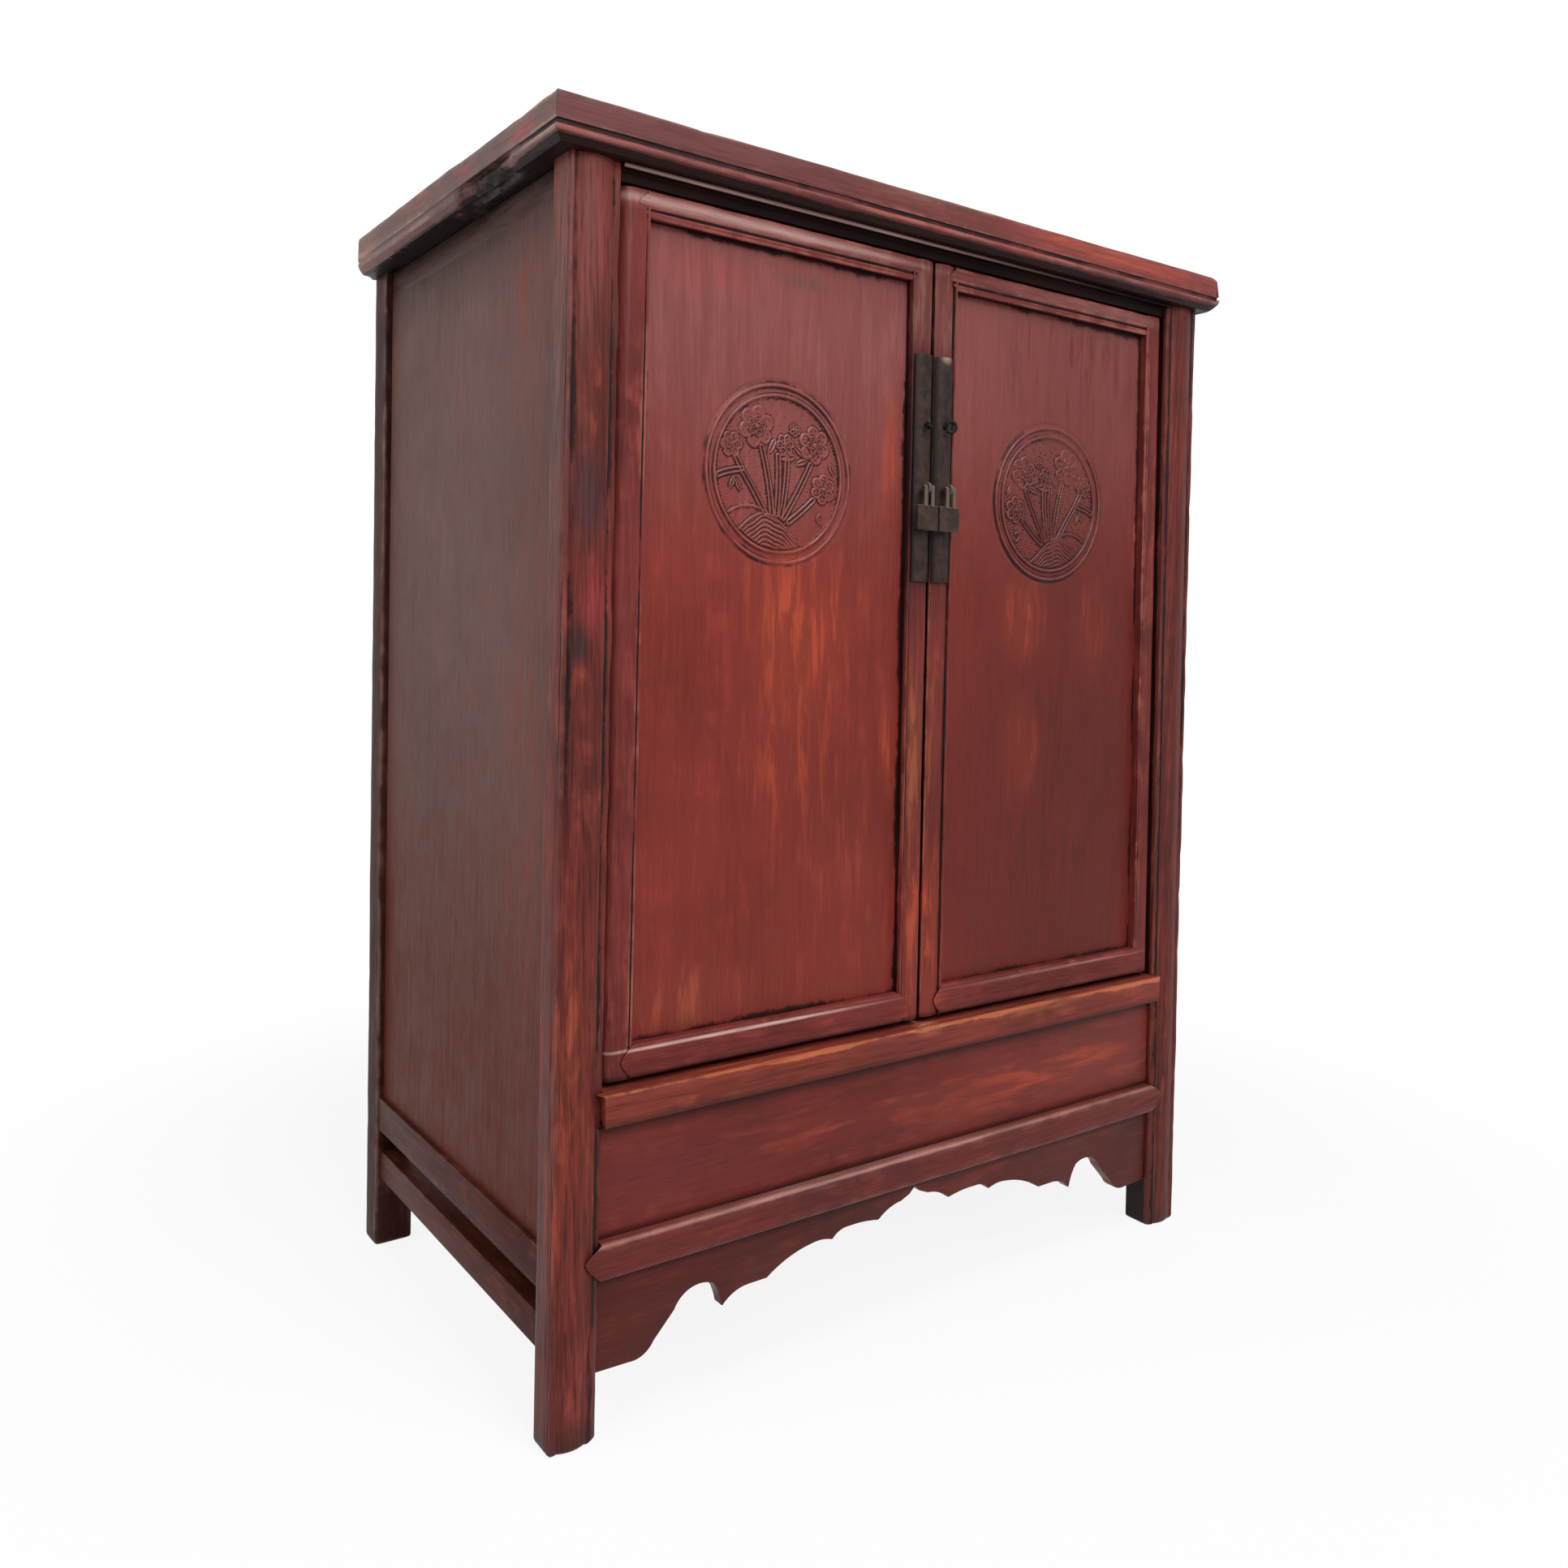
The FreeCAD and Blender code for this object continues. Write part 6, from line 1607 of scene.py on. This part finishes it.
        # Painted shade on the parts more than 6 mm behind the face, in the gap between the doors.
        return self.upright(rounded_section(corners, radii, 4).shaded_beyond(1, 6 * MM, 3 * MM), 0.0, self.height, wear)

    def rail(self, low: float, high: float, wear: Wear, moulded: bool) -> Surface:
        """Door rail with a rounded face whose pointed tips lie on the stiles.

        Args:
            low: Its lower edge.
            high: Its upper edge.
            wear: Its wear.
            moulded: Whether a bead runs along its lower edge.

        Returns:
            The surface.
        """
        layer, deep = 8 * MM, self.thickness
        corners = [(deep, high), (layer, high), (0.0, high), (0.0, low), (layer, low), (deep, low)]
        radii = [0.6, 0, 7.5, 8, 0, 0.6]
        if moulded:
            corners[3:4] = [(1.2 * MM, low + 11 * MM), (4.2 * MM, low + 8.4 * MM), (1.8 * MM, low + 6.6 * MM),
                            (1.8 * MM, low)]
            radii[2:4] = [4.5, 3, 0.4, 1, 2]
        section = rounded_section(corners, radii, 3)
        back, level = section.points.T
        # Painted shade on the parts set back behind the face: from 4 mm on the lower part, from 10 mm on the upper.
        section.hollow = np.where(level < low + 0.4 * (high - low), section.shaded_beyond(0, 4 * MM, 3 * MM).hollow,
                                  section.shaded_beyond(0, 10 * MM, 3 * MM).hollow)
        middle, half = (low + high) / 2.0, (high - low) / 2.0
        tip = np.where(back < layer - 0.1 * MM, 14 * MM * held(1.0 - (np.abs(level - middle) / half) ** 1.5), 0.0)
        return swept(section, self.inner(level) - tip, -self.gap - self.stile + tip, self.world, wear,
                     9).outlined(len(level))

    def dress(self, effects: Effects, side: str) -> None:
        """Make one door's panel, stiles and rails.

        Args:
            effects: The shared groups.
            side: Left or right.
        """
        # The right medallion gets more painted shade in its creases and more painted highlight on its ridges.
        seed, crease_contrast = (101, 1.0) if side == "left" else (151, 2.6)
        panel = PANEL.material(effects, Way.UPRIGHT)
        upright, crosswise = FRONT.material(effects, Way.UPRIGHT), FRONT.material(effects, Way.CROSSWISE)
        worn = [Wear(0.3, 1.0, 0.3, (1.5, 1.5), seed + number) for number in (1, 2, 3)]
        low_worn = Wear(0.4, 1.2, 0.3, (1.5, 1.5), seed + 4)
        for title, surface, finish, node in (
            ("carved_panel", self.panel(Medallion(), seed, crease_contrast), panel, "panel"),
            ("outer_stile", self.hanging_stile(worn[0]), upright, "hanging_stile"),
            ("lock_stile", self.meeting_stile(worn[1]), upright, "meeting_stile"),
            ("upper_rail", self.rail(self.height - self.top_rail, self.height, worn[2], True), crosswise, "top_rail"),
            ("foot_rail", self.rail(0.0, self.bottom_rail, low_worn, False), crosswise, "bottom_rail"),
        ):
            shape = surface.mirrored() if side == "right" else surface
            body = "door_" + side
            seat("%s_%s" % (title, side), shape, finish, body, "%s_%s" % (body, node))


@dataclass(frozen=True)
class LockIron:
    """Half-round plates, eyes and hanging pulls on the meeting stiles, in the door's frame.

    Attributes:
        plate: Left edge, right edge, foot and head of the plate.
        chord: Depth at which the plate's edges lie.
        peak: Depth of the plate's crown.
        eye_across: Place of the eyes across.
        eye_levels: Levels of the upper and the lower eye.
        eye_depth: Depth of the rings' middle.
        inside: Depth at which the legs of the eyes end in the stile.
        ring: Radius of a ring to the middle of its wire.
        bar: Radius of the lower eye's wire.
        hook_bar: Radius of the wire of the bent upper eyes.
        pin: Radius and half length of the pull's pin.
        tab: Half width, foot, head and thickness of the pull's tab.
        lug: Radius of a rolled lug to the middle of its strip, and half the strip's thickness.
    """

    plate: tuple[float, float, float, float] = (-30.5 * MM, -2.5 * MM, 535 * MM, 797 * MM)
    chord: float = 3.2 * MM
    peak: float = -3.6 * MM
    eye_across: float = -17 * MM
    eye_levels: tuple[float, float] = (716 * MM, 643 * MM)
    eye_depth: float = -10.8 * MM
    inside: float = 32 * MM
    ring: float = 4.5 * MM
    bar: float = 1.9 * MM
    hook_bar: float = 2.3 * MM
    pin: tuple[float, float] = (1.75 * MM, 8.2 * MM)
    tab: tuple[float, float, float, float] = (16 * MM, 594 * MM, 623 * MM, 4 * MM)
    lug: tuple[float, float] = (2.85 * MM, 0.72 * MM)

    def shell(self, door: Door, seed: int) -> Surface:
        """Half-round plate, slightly uneven from the hammer.

        Args:
            door: The door that carries it.
            seed: Number that chooses the unevenness.

        Returns:
            The surface.
        """
        left, right, low, high = self.plate
        outer = self.chord - 1 * MM
        crown = outer - self.peak
        corners = bowed((right, self.chord), (left, self.chord), -(crown - 0.8 * MM), 12)
        corners += bowed((left, outer), (right, outer), crown, 14) + [(right, outer)]
        # Painted shade on the plate's rounded sides, which darken to the soot colour.
        section = rounded_section(corners, [0.4] + [0] * 11 + [0.4] + [0] * 14, 5).shaded_beyond(1, -1 * MM, 3 * MM)
        return door.upright(section, low, high, Wear(0.1, 0.3, 0.35, (0.45, 0.45), seed), 6)

    def opened_ring(self, door: Door, size: float, twist: float, start: float, stop: float) -> Surface:
        """Upper eye, bent open and twisted: one leg out of the stile and a part of a ring.

        Formula: a circle from start to stop, turned about the upright line through its middle.

        Args:
            door: The door that carries it.
            size: Radius of the ring to the middle of its wire.
            twist: Turn about the upright, in degrees.
            start: First angle, in degrees from the line back to the stile.
            stop: Last angle.

        Returns:
            The surface.
        """
        angle, level = np.radians(np.linspace(start, stop, 30)), self.eye_levels[0]
        cosine, sine = math.cos(math.radians(twist)), math.sin(math.radians(twist))
        out = size * np.cos(angle)
        ring = door.path(self.eye_across + out * sine, self.eye_depth + out * cosine, level + size * np.sin(angle))
        depth = np.linspace(self.inside, self.eye_depth + 0.7 * size, 8)
        leg = door.path(self.eye_across + 0.5 * size * sine, depth, level)
        surface = wire(ring, self.hook_bar, (cosine, -sine, 0.0), 12).joined(
            wire(leg, 0.9 * self.hook_bar, (1.0, 0.0, 0.0), 12))
        surface.masks["hollow"] = np.ones(len(surface.points))
        return surface

    def eye(self, door: Door, level: float) -> Surface:
        """Eye bent from one wire: two legs out of the stile and a round loop.

        Formula: a leg along the depth, then a circle from 28 to 332 degrees, counted from the
        line back to the stile, then the second leg.

        Args:
            door: The door that carries it.
            level: Level of its middle.

        Returns:
            The surface.
        """
        angle = np.linspace(math.radians(28.0), math.radians(332.0), 34)
        loop_depth = self.eye_depth + self.ring * np.cos(angle)
        loop_up = level + self.ring * np.sin(angle)
        leg = np.linspace(self.inside, float(loop_depth[0]) + 1.5 * MM, 12)
        lower = level + np.linspace(0.8 * MM, float(loop_up[0] - level), 12)
        path = door.path(self.eye_across, np.concatenate([leg, loop_depth, leg[::-1]]),
                         np.concatenate([lower, loop_up, 2 * level - lower[::-1]]))
        surface = wire(path, self.bar, (1.0, 0.0, 0.0), 14)
        # The whole loop takes the bare colour: rubbed iron and painted highlight.
        surface.masks["edge"] = np.full(len(surface.points), 0.9)
        return surface

    def pull(self, door: Door, seed: int) -> Surface:
        """Hanging pull: a thick tab, two rolled lugs and the pin through the lower eye.

        Formula of a lug: a strip of even thickness whose middle line rises from the tab and
        turns once about the pin, carried across its width.

        Args:
            door: The door that carries it.
            seed: Number that chooses the unevenness.

        Returns:
            The surface.
        """
        half, low, high, thick = self.tab
        level = self.eye_levels[1]
        left, right = self.eye_across - half, self.eye_across + half
        front, back = self.eye_depth - thick / 2.0, self.eye_depth + thick / 2.0
        corners = [(right, back), (left, back)] + bowed((left, front), (right, front), 0.6 * MM, 8) + [(right, front)]
        section = rounded_section(corners, [1.1, 1.1, 1.1] + [0] * 7 + [1.1], 3)
        section.edge *= 0.3
        surface = door.upright(section, low, high, Wear(0.1, 0.4, 0.3, (1.2, 1.2), seed), 3)
        turn = np.radians(np.linspace(-90.0, 215.0, 26))[5:]
        middle, skin = self.lug
        rise = np.linspace(high - 2 * MM, level - middle * 0.2, 8)
        keep = np.concatenate([np.ones(8, bool), (np.sin(turn) > -0.2) | (turn > math.radians(90.0))])
        outer, inner = (np.stack([
            self.eye_depth - np.concatenate([np.full(8, radius), radius * np.cos(turn)]),
            np.concatenate([rise, level + radius * np.sin(turn)])], axis=1)[keep]
            for radius in (middle + skin, middle - skin))
        outline = np.concatenate([outer, inner[::-1]])
        # The lugs take the bare colour all over: rubbed iron and painted highlight.
        lug = Section(outline, np.ones(len(outline)), np.zeros(len(outline)))
        for start in (self.eye_across - 7.6 * MM, self.eye_across + 2.8 * MM):
            strip = swept(lug, start, start + 4.8 * MM, door.world, Wear(0.0, 0.0, 0.0, seed=seed), 1.6)
            surface = surface.joined(strip)
        radius, reach = self.pin
        path = door.path(self.eye_across + np.linspace(-reach, reach, 9), self.eye_depth, level)
        return surface.joined(wire(path, radius, (0.0, 0.0, 1.0), 14))

    def dress(self, effects: Effects, door: Door, side: str) -> None:
        """Make one door's plate, eyes and pull.

        Args:
            effects: The shared groups.
            door: The door that carries them.
            side: Left or right.
        """
        seed, bent = (211, (4.0 * MM, 25.0, -150.0, 70.0)) if side == "left" else (223, (6.2 * MM, 60.0, 30.0, 320.0))
        iron = PLATE_IRON.material(effects)
        eyes = self.opened_ring(door, *bent).joined(self.eye(door, self.eye_levels[1]))
        for title, surface, finish, body, node in (
            ("iron_plate", self.shell(door, seed), iron, "door_" + side, "face_plate"),
            ("iron_eyes", eyes, iron, "door_" + side, "lock_eyes"),
            ("iron_pull", self.pull(door, seed + 1), PULL_IRON.material(effects), "pull_" + side, "pull"),
        ):
            shape = surface.mirrored() if side == "right" else surface
            seat("%s_%s" % (title, side), shape, finish, body, "door_%s_%s" % (side, node))


# Plain boards and rails

@dataclass(frozen=True)
class PlainWork:
    """Boards and rails that keep their plain shape, some with softened arrises.

    Attributes:
        softened: Node, title, rounding in millimetres, finish, grain and slot of each softened piece.
        kinds: Start of the name, finish and grain of the nodes that keep their shape.
    """

    softened: tuple = (
        ("apron", "shaped_apron", 1.6, APRON, Way.CROSSWISE, "front"),
        ("skirt_panel", "skirt_board", 0.8, SKIRT, Way.CROSSWISE, "front"),
        ("head_rail_front", "head_rail_lip", 0.8, HEAD_IN_SHADE, Way.CROSSWISE, "front"),
        ("side_rail_left", "side_rail_near", 2.6, STRETCH, Way.DEPTHWISE, "side"),
        ("side_rail_right", "side_rail_far", 2.6, STRETCH, Way.DEPTHWISE, "side"),
        ("side_stretcher_left", "stretcher_near", 2.6, STRETCH, Way.DEPTHWISE, "side"),
        ("side_stretcher_right", "stretcher_far", 2.6, STRETCH, Way.DEPTHWISE, "side"),
        ("head_rail_left", "head_rail_near", 1.5, SIDE, Way.DEPTHWISE, "side"),
        ("head_rail_right", "head_rail_far", 1.5, SIDE, Way.DEPTHWISE, "side"),
        ("top_frame_back", "top_edge_back", 2.0, TOP, Way.CROSSWISE, "side"),
        ("head_rail_back", "head_rail_rear", 1.5, SIDE, Way.CROSSWISE, "side"),
        ("back_rail_middle", "rear_rail_middle", 2.0, SIDE, Way.CROSSWISE, "side"),
        ("back_rail_lower", "rear_rail_lower", 2.0, SIDE, Way.CROSSWISE, "side"))
    kinds: tuple = (
        ("side_panel", SIDE, Way.UPRIGHT), ("back_board", SIDE, Way.UPRIGHT), ("back_skirt", SIDE, Way.CROSSWISE),
        ("top_panel", TOP, Way.CROSSWISE), ("top_batten", INNER, Way.DEPTHWISE), ("floor", INNER, Way.CROSSWISE),
        ("bottom_board", INNER, Way.CROSSWISE), ("shelf_board", INNER, Way.CROSSWISE),
        ("shelf_cleat", INNER, Way.DEPTHWISE), ("door", INNER, Way.CROSSWISE))

    def dress(self, effects: Effects) -> None:
        """Soften the listed pieces and give every other shown node its finish.

        Args:
            effects: The shared groups.
        """
        for node, title, radius, finish, way, slot in self.softened:
            mesh = softened_copy(node, title, radius * MM)
            seat(title, mesh, finish.material(effects, way), "cabinet", node)
        for name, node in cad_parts.items():
            if node.hide_render:
                continue
            finish, way = next(kind[1:] for kind in self.kinds if name.startswith(kind[0]))
            for slot in node.material_slots:
                slot.material = finish.material(effects, way)
            LOG.info("%s keeps its shape in %s", name, finish.name)


# The studio

@dataclass(frozen=True)
class Studio:
    """Pale floor, soft lamps and the camera.

    Attributes:
        position: Place of the lens.
        yaw: Turn to the right of the view, in degrees.
        pitch: Rise of the view, in degrees.
        roll: Turn of the picture, in degrees.
        lens: Focal length in millimetres for a sensor 36 mm wide.
        lamps: Name, place, target, side and power in watts of each square lamp.
    """

    position: Triple = (-1.0339, -1.4304, 0.8513)
    yaw: float = 35.639
    pitch: float = -6.59
    roll: float = 1.116
    lens: float = 29.217
    lamps: tuple = (
        ("key_lamp", (-0.2, -3.1, 2.9), (-0.1, 0.0, 0.6), 1.8, 71.0),
        ("overhead_lamp", (-0.3, -1.0, 3.1), (-0.1, -0.25, 0.6), 0.9, 28.0),
        ("side_lamp", (-3.4, 0.1, 2.3), (0.0, 0.0, 0.7), 2.2, 54.0))

    def camera(self) -> None:
        """Add the camera and make it the scene's own."""
        yaw, pitch, roll = (math.radians(angle) for angle in (self.yaw, self.pitch, self.roll))
        forward = Vector((math.sin(yaw) * math.cos(pitch), math.cos(yaw) * math.cos(pitch), math.sin(pitch)))
        right = Vector((math.cos(yaw), -math.sin(yaw), 0.0))
        up = right.cross(forward)
        data = bpy.data.cameras.new("studio_camera")
        data.sensor_width, data.lens, data.clip_end = 36.0, self.lens, 60.0
        axes = (right * math.cos(roll) + up * math.sin(roll), up * math.cos(roll) - right * math.sin(roll), -forward)
        camera = linked("studio_camera", data)
        camera.matrix_world = Matrix.Translation(self.position) @ Matrix(axes).transposed().to_4x4()
        bpy.context.scene.camera = camera

    def light(self) -> None:
        """Add the square soft lamps, each facing its target."""
        for name, place, target, size, power in self.lamps:
            data = bpy.data.lights.new(name, "AREA")
            data.size, data.energy = size, power
            lamp = linked(name, data)
            lamp.location = place
            lamp.rotation_euler = (Vector(target) - Vector(place)).to_track_quat("-Z", "Y").to_euler()

    def floor(self) -> None:
        """Pale floor that shows white and keeps the shadow."""
        mesh = bpy.data.meshes.new("studio_floor")
        far = 24.0
        mesh.from_pydata([(-far, -far, 0.0), (far, -far, 0.0), (far, far, 0.0), (-far, far, 0.0)], [], [(0, 1, 2, 3)])
        material = bpy.data.materials.new("pale_floor")
        sheet = Sheet.blank(material)
        matt = sheet.node("BsdfDiffuse", Color=(0.86, 0.86, 0.86, 1.0))
        light = sheet.node("Emission", Color=(1.0, 1.0, 1.0, 1.0), Strength=1.0)
        far_off = sheet.vector("LENGTH", sheet.node("TexCoord").outputs["Object"])
        white = sheet.span(far_off, 0.75, 1.7, 0.88, 1.0)
        sheet.shown(sheet.total((sheet.looked_at(), white)), matt, light, "Material")
        mesh.materials.append(material)
        linked("studio_floor", mesh)

    def world(self) -> None:
        """White surroundings for the view and for reflections, and a soft general light."""
        world = bpy.data.worlds.new("studio_world")
        bpy.context.scene.world = world
        sheet = Sheet.blank(world)
        general = sheet.node("Background", Color=(0.98, 0.98, 1.0, 1.0), Strength=0.30)
        white = sheet.node("Background", Color=(1.0, 1.0, 1.0, 1.0), Strength=1.0)
        sheet.shown(sheet.looked_at(), general, white, "World")

    def build(self) -> None:
        """Set up the whole studio."""
        self.camera()
        self.floor()
        self.world()
        self.light()
        bpy.context.scene.view_settings.view_transform = "Standard"


def main() -> None:
    """Build the studio and every sub-assembly."""
    logging.basicConfig(level=logging.INFO, format="%(message)s")
    Studio().build()
    effects = Effects()
    Carcass().dress(effects)
    MouldedTop().dress(effects)
    door = Door()
    for side in ("left", "right"):
        door.dress(effects, side)
        LockIron().dress(effects, door, side)
    PlainWork().dress(effects)
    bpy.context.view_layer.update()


if __name__ == "__main__":
    main()
